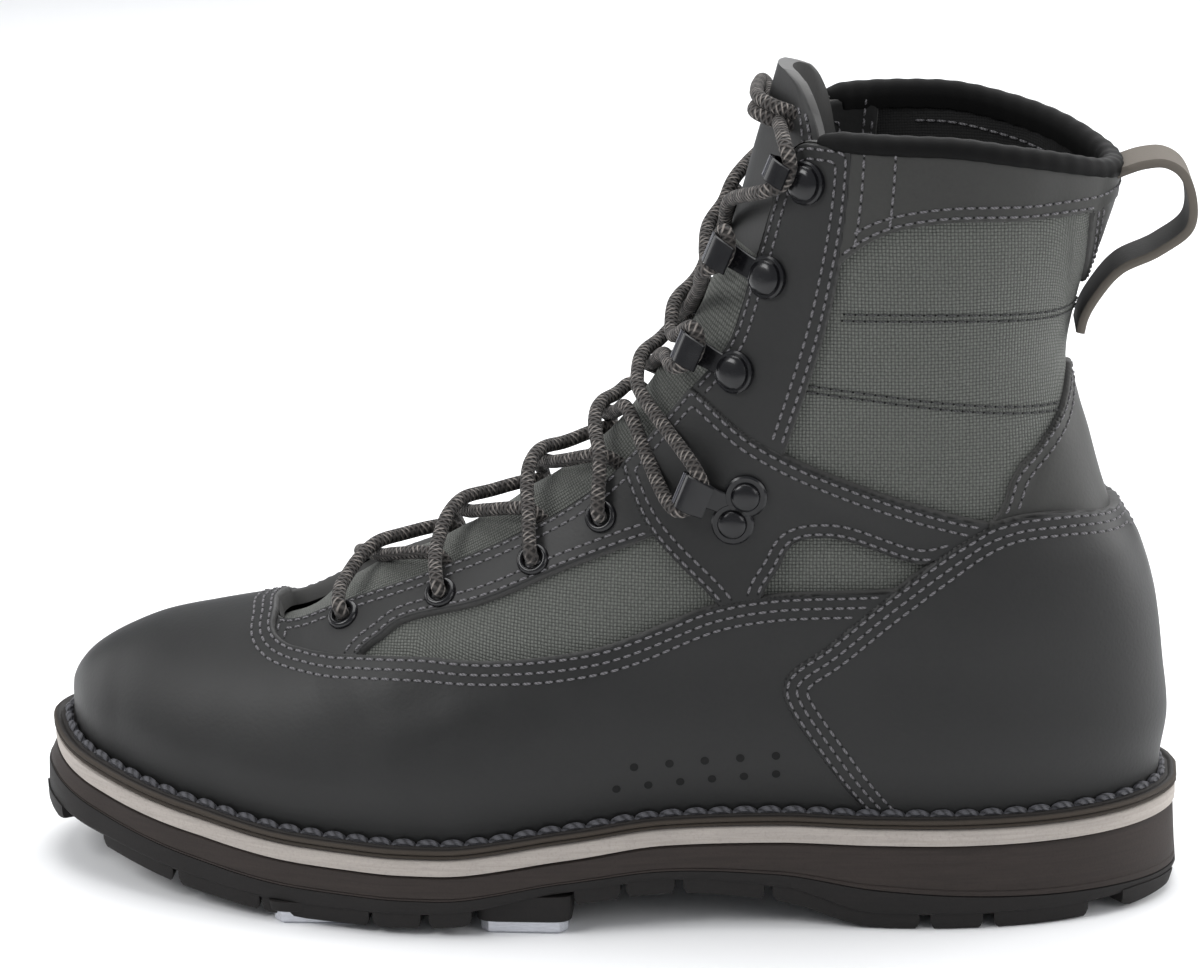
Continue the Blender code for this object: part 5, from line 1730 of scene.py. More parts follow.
    def row(self, points: Points, normals: Points, height: float, threads: Soup, holes: Soup) -> None:
        """Adds single stitches along a line, with a needle hole after each, drawn as a dark disc of painted
        shade.

        Args:
            points: the line.
            normals: the surface's normals along it.
            height: height over the surface.
            threads: where the stitches go.
            holes: where the needle holes go.
        """
        both = resample(np.concatenate([points, normals * 1e-3], axis=1), 0.5)
        line, n = both[:, :3], unit(both[:, 3:])
        size = np.concatenate([[0], np.cumsum(np.linalg.norm(np.diff(line, axis=0), axis=1))])
        count = int(size[-1] / self.pitch)
        for k in range(count):
            at = (k + 0.5) * self.pitch + np.linspace(-0.5, 0.5, 5) * self.stitch
            p = np.stack([np.interp(at, size, line[:, c]) for c in range(3)], axis=1)
            m = unit(np.stack([np.interp(at, size, n[:, c]) for c in range(3)], axis=1))
            lift = height + np.array([-0.22, 0.10, 0.16, 0.10, -0.22])
            radius = self.thread * np.array([0.55, 0.95, 1.0, 0.95, 0.55])
            threads.add(*tube(p + m * lift[:, None], radius, 6, m, 0.8))
            end = k * self.pitch
            q = np.array([np.interp(end, size, line[:, c]) for c in range(3)])
            w = unit(np.array([np.interp(end, size, n[:, c]) for c in range(3)]))
            t = unit(p[-1] - p[0])
            s = np.cross(w, t)
            angle = np.arange(6) * math.pi / 3
            ring = q + w * (height + 0.035) + 0.36 * (np.cos(angle)[:, None] * t + np.sin(angle)[:, None] * s)
            holes.add(ring, [tuple(range(6))])


@dataclass
class CollarBinding:
    """Soft roll sewn over the top edge."""

    form: BootForm
    kit: Kit
    start: float = 0.706
    steps: int = 260

    def build(self) -> None:
        """Builds the roll with slight puckers."""
        u = np.linspace(self.start, 2 - self.start, self.steps)
        rim = self.form.surface(u, np.ones_like(u))
        across = np.gradient(rim, axis=0)
        n = unit(np.column_stack([-across[:, 1], across[:, 0], np.zeros(len(u))]))
        if n[len(n) // 2, 0] < 0:
            n = -n
        shape = np.array([(-3.4, -4.6), (-3.9, -1.4), (-3.7, 1.0), (-2.6, 2.4), (-0.9, 3.0), (0.8, 2.7),
                          (2.1, 1.9), (2.7, 0.6), (2.7, -0.8), (2.3, -2.0), (1.0, -2.3), (-2.0, -4.8)])
        length = np.concatenate([[0], np.cumsum(np.linalg.norm(np.diff(rim, axis=0), axis=1))])
        rings = []
        for i in range(len(u)):
            end = min(1.0, (min(i, len(u) - 1 - i) + 1) / 7)
            size = (0.35 + 0.65 * math.sqrt(end)) * (1 + 0.025 * math.sin(length[i] * 1.1))
            middle = np.array([-0.5, -0.6])
            ring = (shape - middle) * size + middle
            rings.append(rim[i] + ring[:, :1] * n[i] + ring[:, 1:] * np.array([0, 0, 1.0]))
        points, faces = lofted(rings)
        lay = np.column_stack([np.repeat(length, len(shape)), np.tile(np.arange(len(shape)), len(u)) * 1.8,
                               np.full(len(points), 20.0)])
        piece = make_object("collar_binding_roll", points, faces, self.kit["binding"], Slot.LINING,
                            ["collar_binding"], lay, True, 70.0)


@dataclass
class DrainHoles:
    """Two rows of small punched holes near the inner waist of each side."""

    form: BootForm
    kit: Kit
    radius: float = 0.95
    height: float = 3.33

    def build(self) -> None:
        """Sets each hole as a dark dimple on the vamp, its dark colour painted shade."""
        holes = Soup()
        rows = (((10.0, 47.1), (49.0, 49.4), 5), ((5.0, 41.2), (49.0, 44.4), 6))
        for medial in (False, True):
            for a, b, count in rows:
                for t in np.linspace(0, 1, count):
                    x, z = a[0] + (b[0] - a[0]) * t, a[1] + (b[1] - a[1]) * t
                    p, n = self.form.side_point(x, z, medial)
                    profile = [(0.0, self.height - 0.35), (self.radius * 0.8, self.height - 0.3),
                               (self.radius, self.height + 0.02), (self.radius * 1.25, self.height + 0.05)]
                    holes.add(*turned(profile, p, n, np.array([1.0, 0, 0]), 14))
        holes.make("drain_holes", self.kit["hole"], Slot.LEATHER)


# Tongue and heel pull


@dataclass
class Tongue:
    """Cloth tongue with a leather top."""

    form: BootForm
    kit: Kit
    depth: float = 4.0
    thick: float = 3.2
    bulge: float = 2.6
    half: float = 54.0
    start: float = 0.190
    leather_from: float = 0.603
    leather_lift: float = 0.9
    across_steps: int = 41
    cloth_scale: float = 560.0
    rows: Table = (
        # along, share of the half width, rise
        (0.190, 0.30, 0.0), (0.225, 0.40, 0.0), (0.262, 0.46, 0.7), (0.330, 0.50, 1.0),
        (0.400, 0.52, 1.0), (0.465, 0.54, 1.0), (0.515, 0.56, 1.0), (0.545, 0.58, 1.0),
        (0.570, 0.58, 1.0), (0.592, 0.58, 1.0), (0.603, 0.61, 1.0), (0.613, 0.64, 1.0),
        (0.622, 0.64, 1.0), (0.630, 0.60, 1.0), (0.636, 0.545, 1.0), (0.6405, 0.46, 1.0),
        (0.6435, 0.33, 1.0), (0.6445, 0.18, 1.0),
    )
    # Soft folds: place along, place across, reach along, depth
    folds: Table = (
        (0.300, 5.0, 0.012, 0.6), (0.345, -4.0, 0.010, -0.5), (0.430, 3.0, 0.012, 0.6),
        (0.470, -6.0, 0.010, -0.5), (0.545, 6.0, 0.006, 0.8), (0.560, -3.0, 0.006, -0.6),
        (0.585, 2.0, 0.005, 0.6),
    )

    def skin(self, at: Points, sink: float, leather: bool) -> tuple[list, list]:
        """Rings of one length of the tongue.

        Args:
            at: places along.
            sink: extra depth of the outer face.
            leather: True for the leather top, which lies flatter.

        Returns:
            Rings of points and their lay.
        """
        t = np.linspace(-1, 1, self.across_steps)
        rings, lays = [], []
        for a in at:
            half = float(smooth(column(self.rows, 0), column(self.rows, 1), a)) * self.half
            rise = float(smooth(column(self.rows, 0), column(self.rows, 2), a))
            x = float(self.form.x_at(a))
            y = t * half
            lift = self.bulge * rise * np.cos(math.pi / 2 * np.minimum(1, np.abs(y) / 20.0)) ** 2
            fold = np.zeros_like(y)
            for place, across, reach, deep in self.folds:
                fold += deep * np.exp(-((a - place) / reach) ** 2 - ((y - across) / 16.0) ** 2)
            edge = 1.1 * ramp(0.86, 1.0, np.abs(t)) ** 2
            out = lift - self.depth - sink - edge + (0.0 if leather else 1.0) * fold
            top = self.form.front_point(x, y, out)
            low = self.form.front_point(x, y, lift - self.depth - self.thick + edge * 0.5)
            rings.append(np.concatenate([top, low[::-1]]))
            dist = half * (1 - np.abs(t))
            along = np.full(self.across_steps, (a - self.start) * self.cloth_scale)
            face = np.column_stack([along, y, dist])
            lays.append(np.concatenate([face, face[::-1] * np.array([1, 1, 0])]))
        return rings, lays

    def build(self) -> None:
        """Builds the cloth length and the leather top."""
        at = np.linspace(self.start, self.leather_from + 0.006, 110)
        rings, lays = self.skin(at, 0.0, False)
        points, faces = lofted(rings)
        make_object("tongue_cloth", points, faces, self.kit["textile"], Slot.TEXTILE, ["tongue"],
                    np.concatenate(lays), True, 60.0)
        at = np.concatenate([np.linspace(self.leather_from, 0.6405, 40), np.linspace(0.6412, 0.6445, 8)])
        rings, lays = self.skin(at, -self.leather_lift, True)
        points, faces = lofted(rings)
        lay = np.concatenate(lays)
        make_object("tongue_top", points, faces, self.kit["leather"], Slot.LEATHER, (), lay, True, 60.0)
        threads = Soup()
        for inset in (2.2, 4.6):
            for side in (-1.0, 1.0):
                path = []
                for a in np.linspace(self.leather_from + 0.001, 0.6395, 30):
                    half = float(smooth(column(self.rows, 0), column(self.rows, 1), a)) * self.half - inset
                    lift = self.bulge * math.cos(math.pi / 2 * min(1, half / 20.0)) ** 2
                    path.append(self.form.front_point(float(self.form.x_at(a)), side * half,
                                                      lift - self.depth + 0.95))
                path = resample(np.array(path), 1.0)
                for k in range(0, len(path) - 3, 3):
                    threads.add(*tube(path[k:k + 3], 0.34, 6))
        threads.make("tongue_stitching", self.kit["thread"], Slot.LEATHER)


@dataclass
class PullLoop:
    """Leather strip that is folded over at the heel."""

    kit: Kit
    width: float = 20.0
    thick: float = 2.4
    line: Table = (
        (136.6, 202.6), (141.6, 204.8), (147.0, 206.6), (152.2, 206.9), (156.6, 204.3), (159.5, 197.8),
        (159.1, 189.4), (151.2, 182.8), (141.2, 178.0), (134.9, 170.6), (131.7, 165.0), (130.6, 160.4),
    )

    def build(self) -> None:
        """Builds the strip with rounded, rubbed edges."""
        path = curve_through(self.line, 1.0)
        d = unit(np.gradient(path, axis=0))
        n = np.column_stack([-d[:, 1], d[:, 0]])
        w, h = self.width / 2, self.thick / 2
        section = [(-w, -0.4 * h), (-w + 0.5, -h), (-w + 2, -h), (0, -h), (w - 2, -h), (w - 0.5, -h),
                   (w, -0.4 * h), (w, 0.4 * h), (w - 0.5, h), (w - 2, h), (0, h), (-w + 2, h),
                   (-w + 0.5, h), (-w, 0.4 * h)]
        rings, lays = [], []
        for i in range(len(path)):
            wave = 0.35 * math.sin(i * 0.31)
            ring = [(path[i, 0] + n[i, 0] * b, a + wave, path[i, 1] + n[i, 1] * b) for a, b in section]
            rings.append(np.array(ring))
            lays.append([(i, a, w - abs(a) if b < 0 and abs(a) < w - 0.1 else 0.0) for a, b in section])
        points, faces = lofted(rings)
        make_object("pull_strip", points, faces, self.kit["strip"], Slot.LEATHER, ["pull_loop"],
                    np.concatenate(lays), True, 55.0)


# Lace holders


@dataclass(frozen=True)
class Holder:
    """One lace holder of a side: its name, place in the side view and reach."""

    name: str
    x: float
    z: float
    reach: float = 0.0

    @property
    def hook(self) -> bool:
        """True for a hook, False for an eyelet."""
        return self.reach > 0


HOLDERS = (
    Holder("eyelet_1", -70.8, 80.0), Holder("eyelet_2", -43.1, 88.4),
    Holder("eyelet_3", -17.1, 98.8), Holder("eyelet_4", 1.9, 111.6),
    Holder("lock_hook", 38.6, 118.2, 9.0), Holder("hook_low", 39.3, 154.7, 10.0),
    Holder("hook_high", 48.3, 180.8, 11.0), Holder("top_hook", 58.6, 206.9, 3.0),
)


@dataclass
class Hardware:
    """Eyelets and hooks of both sides."""

    form: BootForm
    kit: Kit
    disc: float = 5.8
    rivet: float = 4.6
    plate: float = 2.3
    strap_plate: float = 2.95

    def frame_of(self, holder: Holder, medial: bool) -> tuple[Points, Points, Points, Points]:
        """Origin on the leather, outward, forward and sideways directions of a holder.

        Args:
            holder: the holder.
            medial: True for the inner side.

        Returns:
            The origin and three unit vectors.
        """
        p, n = self.form.side_point(holder.x, holder.z, medial)
        forward = np.array([-0.92, 0.0, 0.38])
        f = unit(forward - n * float(forward @ n))
        height = self.strap_plate if holder.name == "lock_hook" else self.plate
        return p + n * height, n, f, np.cross(n, f)

    def build(self) -> None:
        """Builds each holder as its own piece."""
        bores = Soup()
        tips = Soup()
        for side, sign in SIDES:
            for holder in HOLDERS:
                o, n, f, a = self.frame_of(holder, sign < 0)
                if holder.hook:
                    self.hook(holder, side, o, n, f, a, tips)
                else:
                    self.eyelet(holder, side, o, n, f, bores)
        bores.make("eyelet_bores", self.kit["hole"], Slot.METAL)
        tips.make("hook_tip_highlights", self.kit["tip"], Slot.METAL)

    def eyelet(self, holder: Holder, side: str, o: Points, n: Points, f: Points, bores: Soup) -> None:
        """Rolled ring with a dark bore, a disc of painted shade.

        Args:
            holder: the holder.
            side: name of the side.
            o: origin on the leather.
            n: direction outward.
            f: direction forward.
            bores: where the dark bore goes.
        """
        angle = np.arange(36) * math.pi / 18
        a = np.cross(n, f)
        around = np.cos(angle)[:, None] * f + np.sin(angle)[:, None] * a
        profile = [(2.6, -1.8), (2.6, 0.5), (2.85, 1.0), (3.4, 1.28), (4.0, 1.15), (4.45, 0.7),
                   (4.65, 0.1), (4.6, -0.6)]
        rings = [o + around * r + n * z for r, z in profile]
        points, faces = lofted(rings, wrap=True)
        make_object(holder.name + "_" + side + "_ring", points, faces, self.kit["metal"], Slot.METAL,
                    [holder.name + "_" + side], None, True, 50.0)
        bores.add(*turned([(0.0, -1.9), (2.7, -1.85)], o, n, f, 20))

    def hook(self, holder: Holder, side: str, o: Points, n: Points, f: Points, a: Points,
             tips: Soup) -> None:
        """Riveted disc with a bent arm and a broad plate.

        Args:
            holder: the holder.
            side: name of the side.
            o: origin on the leather.
            n: direction outward.
            f: direction forward.
            a: direction sideways.
            tips: where the bright bar at the bend goes, a painted highlight.
        """
        body = Soup()
        twin = holder.name == "lock_hook"
        flat = [(0.0, 1.3), (self.rivet, 1.3), (self.disc - 0.5, 1.35), (self.disc, 0.9), (self.disc, -0.4),
                (0.0, -0.4)][::-1]
        dome = [(self.rivet, 1.2), (self.rivet, 2.0), (self.rivet - 0.5, 2.55), (self.rivet * 0.6, 3.0),
                (self.rivet * 0.25, 3.15), (0.0, 3.2)]
        places = [(-1.0, 4.4), (-1.4, -4.2)] if twin else [(0.0, 0.0)]
        for along, aside in places:
            centre = o + f * along + a * aside
            body.add(*turned(flat, centre, n, f))
            size = 0.86 if twin else 1.0
            body.add(*turned([(r * size, z) for r, z in dome], centre, n, f))
        x1 = self.disc + holder.reach
        wide = 5.0 if twin else 4.3
        if holder.name == "top_hook":
            path = [(1.0, 0.7), (5.0, 0.9), (8.0, 1.6), (9.6, 3.4), (8.8, 5.4), (6.0, 6.3), (2.4, 6.2)]
            widths = [3.0, 3.2, 3.2, 3.2, 3.3, 3.3, 3.2]
        else:
            path = [(1.0, 0.7), (self.disc, 0.8), (x1 - 3.0, 1.2), (x1 - 0.4, 2.0), (x1 + 0.5, 3.7),
                    (x1 - 0.5, 5.5), (x1 - 3.0, 6.2), (x1 - 7.6, 6.0)]
            widths = [3.4, 3.0, wide * 0.85, wide, wide, wide, wide, wide * 0.92]
        fine = curve_through([(p[0], p[1], w) for p, w in zip(path, widths)], 0.6)
        d = unit(np.gradient(fine[:, :2], axis=0))
        m = np.column_stack([-d[:, 1], d[:, 0]])
        rings = []
        for k, (x, z, w) in enumerate(fine):
            ring = []
            for s, t in ((-w, -0.2), (-w + 0.3, -0.5), (w - 0.3, -0.5), (w, -0.2), (w, 0.2), (w - 0.3, 0.5),
                         (-w + 0.3, 0.5), (-w, 0.2)):
                ring.append(o + f * (x + m[k, 0] * t) + n * (z + m[k, 1] * t) + a * s)
            rings.append(np.array(ring))
        body.add(*lofted(rings))
        body.make(holder.name + "_" + side + "_body", self.kit["metal"], Slot.METAL,
                  replaces=[holder.name + "_" + side], closed=True, sharp=38.0)
        # Bright metal bar across the bend: a painted highlight.
        k = int(np.argmax(fine[:, 0]))
        x, z, w = fine[k]
        bar = [o + f * (x + 0.45) + n * z + a * s for s in np.linspace(-w + 0.2, w - 0.2, 9)]
        tips.add(*tube(np.array(bar), 0.85, 10))


@dataclass
class Lace:
    """One cord, laced crosswise from the first eyelets to the top hooks."""

    form: BootForm
    kit: Kit
    hardware: Hardware
    radius: float = 1.95
    half: float = 17.5
    low: float = 2.3
    split: float = 1.85
    slack: tuple[float, ...] = (1.2, 2.6, 3.4, 2.2, 1.2, 1.6, 1.4)
    levels: tuple[float, ...] = (0.270, 0.354, 0.432, 0.494, 0.531, 0.562, 0.593, 0.618)

    def over(self, k: int, side: float, t: float, up: float) -> Points:
        """Point of crossing k at share t, starting on one side, raised where the two strands meet.

        Args:
            k: number of the crossing.
            side: side where it starts.
            t: share of the way across.
            up: 1 for the upper strand, -1 for the lower one.

        Returns:
            The point.
        """
        late = t ** 1.45
        x = float(self.form.x_at(self.levels[k] + (self.levels[k + 1] - self.levels[k]) * late))
        y = side * self.half * (2 * t - 1)
        lift = (self.low if k else 1.8) + 3.4 * (y / self.half) ** 2
        lift += up * self.split * math.exp(-(y / 6.5) ** 2)
        lift += self.slack[k] * math.sin(math.pi * min(1.0, t * 1.35)) ** 2 * (1.0 if up > 0 else 0.55)
        return self.form.front_point(x, y, lift)

    def strand(self, first: float) -> list[Points]:
        """Points of one half of the cord, from its first eyelet to the top.

        Args:
            first: 1 if it starts on the lateral side, -1 on the medial side.

        Returns:
            Points in order.
        """
        path = []
        side = first
        for k, holder in enumerate(HOLDERS):
            medial = side < 0
            o, n, f, _ = self.hardware.frame_of(holder, medial)
            up_line = unit(np.array([0.45, 0.0, 0.9]))
            if not holder.hook:
                path += [o - n * 5.2 + f * 5.0, o - n * 3.6 + f * 1.2, o + n * 0.4, o + n * 2.7 - f * 0.3]
                start = self.over(k, side, 0.02, side)
                path.append(o * 0.45 + start * 0.55 + n * 1.6)
                shares = (0.06, 0.18, 0.34, 0.5, 0.66, 0.8)
            else:
                reach = self.hardware.disc + holder.reach
                if holder.name == "top_hook":
                    reach = 8.6
                channel = o + f * (reach - 4.6) + n * 3.7
                path += [channel + f * 3.4 - up_line * 6.2 + n * 0.4, channel - up_line * 2.6,
                         channel + up_line * 2.6, channel + f * 3.4 + up_line * 6.2 + n * 0.4]
                shares = (0.16, 0.3, 0.5, 0.7, 0.84)
            if k == len(HOLDERS) - 1:
                break
            nxt = HOLDERS[k + 1]
            last = 0.84 if nxt.hook else 0.78
            for t in shares:
                if t <= last + 0.01:
                    path.append(self.over(k, side, t, side))
            if not nxt.hook:
                x = float(self.form.x_at(self.levels[k + 1]))
                for y, lift in ((14.2, 1.0), (17.6, -2.6), (21.0, -4.6)):
                    path.append(self.form.front_point(x + 0.25 * (y - 14), side * y, lift))
            side = -side
        return path

    def build(self) -> None:
        """Builds the cord as one tube from one top hook to the other."""
        path = (self.top_end(1.0)[::-1] + self.strand(1.0)[::-1]
                + self.strand(-1.0) + self.top_end(-1.0))
        line = curve_through(path, 0.8)
        for _ in range(6):
            line[1:-1] = (line[:-2] + 2 * line[1:-1] + line[2:]) / 4
        points, faces, lay = tube(line, self.radius, 14)
        names = ["lace_crossing_%d" % (k + 1) for k in range(len(self.slack))]
        make_object("lace_cord", points, faces, self.kit["lace"], Slot.LACE, names, lay, True, 60.0)

    def top_end(self, first: float) -> list[Points]:
        """Points from a top hook to the end, tucked behind the facing's top edge.

        Args:
            first: 1 for the half that starts on the lateral side, else -1.

        Returns:
            The points in order.
        """
        side = -first
        x = float(self.form.x_at(0.634))
        if first > 0:
            near = ((12, 3.6), (17, 0.4), (20, -3.4), (22, -5.0))
            return [self.form.front_point(x, side * y, lift) for y, lift in near]
        far = ((14, 4.0), (7, 3.2), (0, 2.9), (-7, 3.1), (-13, 2.6), (-17, 0.2), (-20, -3.2), (-22, -5.0))
        return [self.form.front_point(x + 1.0, side * y, lift) for y, lift in far]


# Sole


@dataclass
class Sole:
    """Welt, midsole layers, lugged outsole and footbed."""

    form: BootForm
    kit: Kit
    width: float = 9.2
    inner: float = 2.8
    lug_height: float = 4.2
    base_least: float = 2.6
    stride: int = 2
    rope_pitch: float = 6.7
    rope_length: float = 6.3
    seat_length: float = 12.0
    seat_width: float = 5.5
    arc_half: int = 14
    edge_lugs: Table = (
        # start and end along
        (0.004, 0.044), (0.056, 0.122), (0.132, 0.204), (0.211, 0.303), (0.311, 0.348), (0.360, 0.392),
        (0.484, 0.518), (0.528, 0.564), (0.576, 0.640), (0.652, 0.772), (0.786, 0.826), (0.840, 0.916),
        (0.930, 0.992),
    )
    mid_lugs: Table = ((0.070, 0.120), (0.140, 0.196), (0.320, 0.372), (0.500, 0.560), (0.820, 0.900))
    bars: Table = ((0.257, -0.84), (0.257, 0.84), (0.438, -0.84), (0.438, 0.84), (0.712, 0.0))

    def plan(self, out: float, flare: float = 0.0) -> Points:
        """Plan ring whose toe spreads by the flare.

        Args:
            out: distance outside the feather edge.
            flare: extra distance at the toe.

        Returns:
            Places along and across.
        """
        p = self.form.ring(out)
        toe = float(p[:, 0].min())
        grow = flare * np.exp(-((p[:, 0] - toe) / 26.0) ** 2)
        return (p + (self.form.ring(out + 1.0) - p) * grow[:, None])[::self.stride]

    def ring(self, out: float, level: int, lift: float = 0.0, flare: float = 0.0) -> Points:
        """Ring of the sole on one of the table's levels."""
        p = self.plan(out, flare)
        return np.column_stack([p, self.form.sole_z(level, p[:, 0]) + lift])

    def between(self, out: float, a: int, b: int, share: float, lift: float = 0.0,
                flare: float = 0.0) -> Points:
        """Ring at a share of the height between two levels.

        Args:
            out: distance outside the feather edge.
            a: lower level.
            b: upper level.
            share: share of the height.
            lift: height added.
            flare: extra distance at the toe.

        Returns:
            The ring.
        """
        p = self.ring(out, a, 0.0, flare)
        q = self.ring(out, b, 0.0, flare)
        return np.column_stack([p[:, :2], p[:, 2] * (1 - share) + q[:, 2] * share + lift])

    def build(self) -> None:
        """Builds the layers from the welt down."""
        self.welt()
        self.layers()
        self.outsole()
        self.ropes()
        self.footbed()

    def welt(self) -> None:
        """Two-ply leather welt with a groove."""
        w = self.width
        steps = [(-self.inner, 0.0, 0.6, 5.0), (w - 0.8, 0.0, 0.3, 1.0), (w - 0.1, 0.10, 0.3, 0.1),
                 (w + 0.15, 0.30, 0.0, 0.0), (w - 0.15, 0.46, 0.0, 0.3), (w - 0.5, 0.52, 0.0, 0.6),
                 (w - 0.1, 0.58, 0.0, 0.2), (w + 0.2, 0.76, 0.0, 0.0), (w - 0.1, 0.94, 0.0, 0.1),
                 (w - 0.8, 1.0, 0.1, 0.7), (w - 1.6, 1.0, 0.15, 1.6), (w - 2.1, 1.0, -0.35, 2.1),
                 (w - 2.5, 1.0, -0.50, 2.5), (w - 2.9, 1.0, -0.25, 2.9), (w - 3.3, 1.0, 0.15, 3.3),
                 (w - 4.4, 1.0, 0.0, 4.4), (-self.inner, 1.0, 0.0, 9.0)]
        rings, lay = [], []
        for out, share, lift, dist in steps:
            ring = self.between(out, 4, 5, share, lift)
            rings.append(ring)
            at = np.concatenate([[0], np.cumsum(np.linalg.norm(np.diff(ring, axis=0), axis=1))])
            lay.append(np.column_stack([at, np.full(len(ring), out), np.full(len(ring), dist)]))
        points, faces = lofted(rings, wrap=True)
        make_object("welt_strip", points, faces, self.kit["welt"], Slot.WELT, ["welt"],
                    np.concatenate(lay), True, 60.0)

    def layers(self) -> None:
        """Pale layer and dark wedge with its parting line."""
        w = self.width
        pale = [self.between(w - 1.4, 3, 4, 0.0, 0.3), self.between(w - 0.35, 3, 4, 0.08, 0.2),
                self.between(w - 0.15, 3, 4, 0.5), self.between(w - 0.2, 3, 4, 0.9),
                self.between(w - 0.8, 3, 4, 1.0)]
        points, faces = lofted(pale)
        make_object("midsole_pale", points, faces, self.kit["layer"], Slot.LAYER, ["midsole_layer"],
                    None, True, 50.0)
        dark = [self.between(w + out, 2, 3, share, lift, flare) for out, share, lift, flare in (
            (-0.6, 0.0, 0.2, 1.6), (0.2, 0.02, 0.2, 1.6), (0.25, 0.10, 0.0, 1.6), (-0.15, 0.13, 0.0, 1.5),
            (0.1, 0.16, 0.0, 1.5), (-0.15, 0.4, 0.0, 1.2), (-0.45, 0.7, 0.0, 0.8), (-0.65, 0.94, 0.0, 0.5),
            (-1.2, 1.0, 0.0, 0.4))]
        points, faces = lofted(dark)
        make_object("wedge_dark", points, faces, self.kit["wedge"], Slot.WEDGE, ["wedge_midsole"],
                    None, True, 35.0)

    def base_under(self, x: Points) -> Points:
        """Underside of the outsole between the lugs."""
        return np.minimum(self.form.sole_z(1, x) + self.lug_height, self.form.sole_z(2, x) - self.base_least)

    def edges(self, x: float) -> tuple[float, float]:
        """Lateral and medial edge of the sole at x.

        Args:
            x: place along the boot.

        Returns:
            The two places across.
        """
        p = self.form.ring(self.width)
        half = len(p) // 2
        med, lat = p[: half + 1], np.concatenate([p[half:], p[:1]])
        return (float(np.interp(x, lat[:, 0], lat[:, 1])), float(np.interp(x, med[::-1, 0], med[::-1, 1])))

    def outsole(self) -> None:
        """Rubber sole with its lugs and bar seats."""
        soup = Soup()
        w = self.width
        rings = []
        for out, rise in ((w - 1.6, 0.0), (w - 0.6, 0.25), (w + 0.2, 1.2)):
            p = self.plan(out, 2.4)
            rings.append(np.column_stack([p, self.base_under(p[:, 0]) + rise]))
        rings.append(self.ring(w + 0.45, 2, -0.5, 1.8))
        rings.append(self.ring(w + 0.35, 2, 0.1, 1.7))
        rings.append(self.ring(w - 0.4, 2, 0.3, 1.6))
        soup.add(*lofted(rings))
        count = len(rings[0])
        span = np.arange(-self.arc_half, self.arc_half + 1)
        self.arc_lug(soup, count // 2 + span)
        self.arc_lug(soup, span % count)
        for a, b in self.edge_lugs[1:-1]:
            for side in (-1.0, 1.0):
                self.lug(soup, a, b, side, False)
        for a, b in self.mid_lugs:
            self.lug(soup, a, b, 1.0, True)
        for along, across in self.bars:
            x = float(self.form.x_at(along))
            lat, med = self.edges(x)
            y = 0.5 * (lat + med) + across * 0.5 * (med - lat)
            top = float(self.base_under(np.array(x))) + 1.0
            rings = []
            for z, grow in ((3.7, 0.5), (4.2, 1.1), (top, 1.5)):
                rings.append(self.pad(x, y, self.seat_length + grow, self.seat_width + grow, z))
            soup.add(*lofted(rings))
        soup.make("outsole_rubber", self.kit["rubber"], Slot.RUBBER, replaces=["outsole"], closed=True,
                  sharp=35.0)

    def arc_lug(self, soup: Soup, span: Points) -> None:
        """Lug that follows the sole's round end, cut in two by a notch on the middle line.

        Args:
            soup: the outsole's mesh.
            span: numbers of the ring points it follows.
        """
        for part in (span[:len(span) // 2 - 1], span[len(span) // 2 + 2:]):
            far, near = self.plan(self.width + 0.5, 2.6)[part], self.plan(self.width - 17.0)[part]
            rings = []
            for k, (p, q) in enumerate(zip(far, near)):
                end = min(k, len(part) - 1 - k)
                ease = (1.6, 0.5, 0.0)[min(end, 2)]
                z = float(self.form.sole_z(1, np.array(p[0]))) + ease
                top = float(self.base_under(np.array(p[0]))) + 1.3
                d = unit(p - q)
                rings.append(np.array([
                    (*q, top), (*(q + d * 0.3), z + 0.6), (*(q + d * 1.2), z), (*(p - d * 1.2), z),
                    (*(p - d * 0.4), z + 0.5), (*(p - d * 0.1), z + 1.6), (*p, top)]))
            soup.add(*lofted(rings))

    def pad(self, x: float, y: float, a: float, b: float, z: float) -> Points:
        """Rounded rectangle at one height.

        Args:
            x: place along.
            y: place across.
            a: half length.
            b: half width.
            z: height.

        Returns:
            The ring.
        """
        angle = np.arange(32) * math.pi / 16
        c, s = np.cos(angle), np.sin(angle)
        along = x + a * np.sign(c) * np.abs(c) ** 0.35
        across = y + b * np.sign(s) * np.abs(s) ** 0.35
        return np.column_stack([along, across, np.full(32, z)])

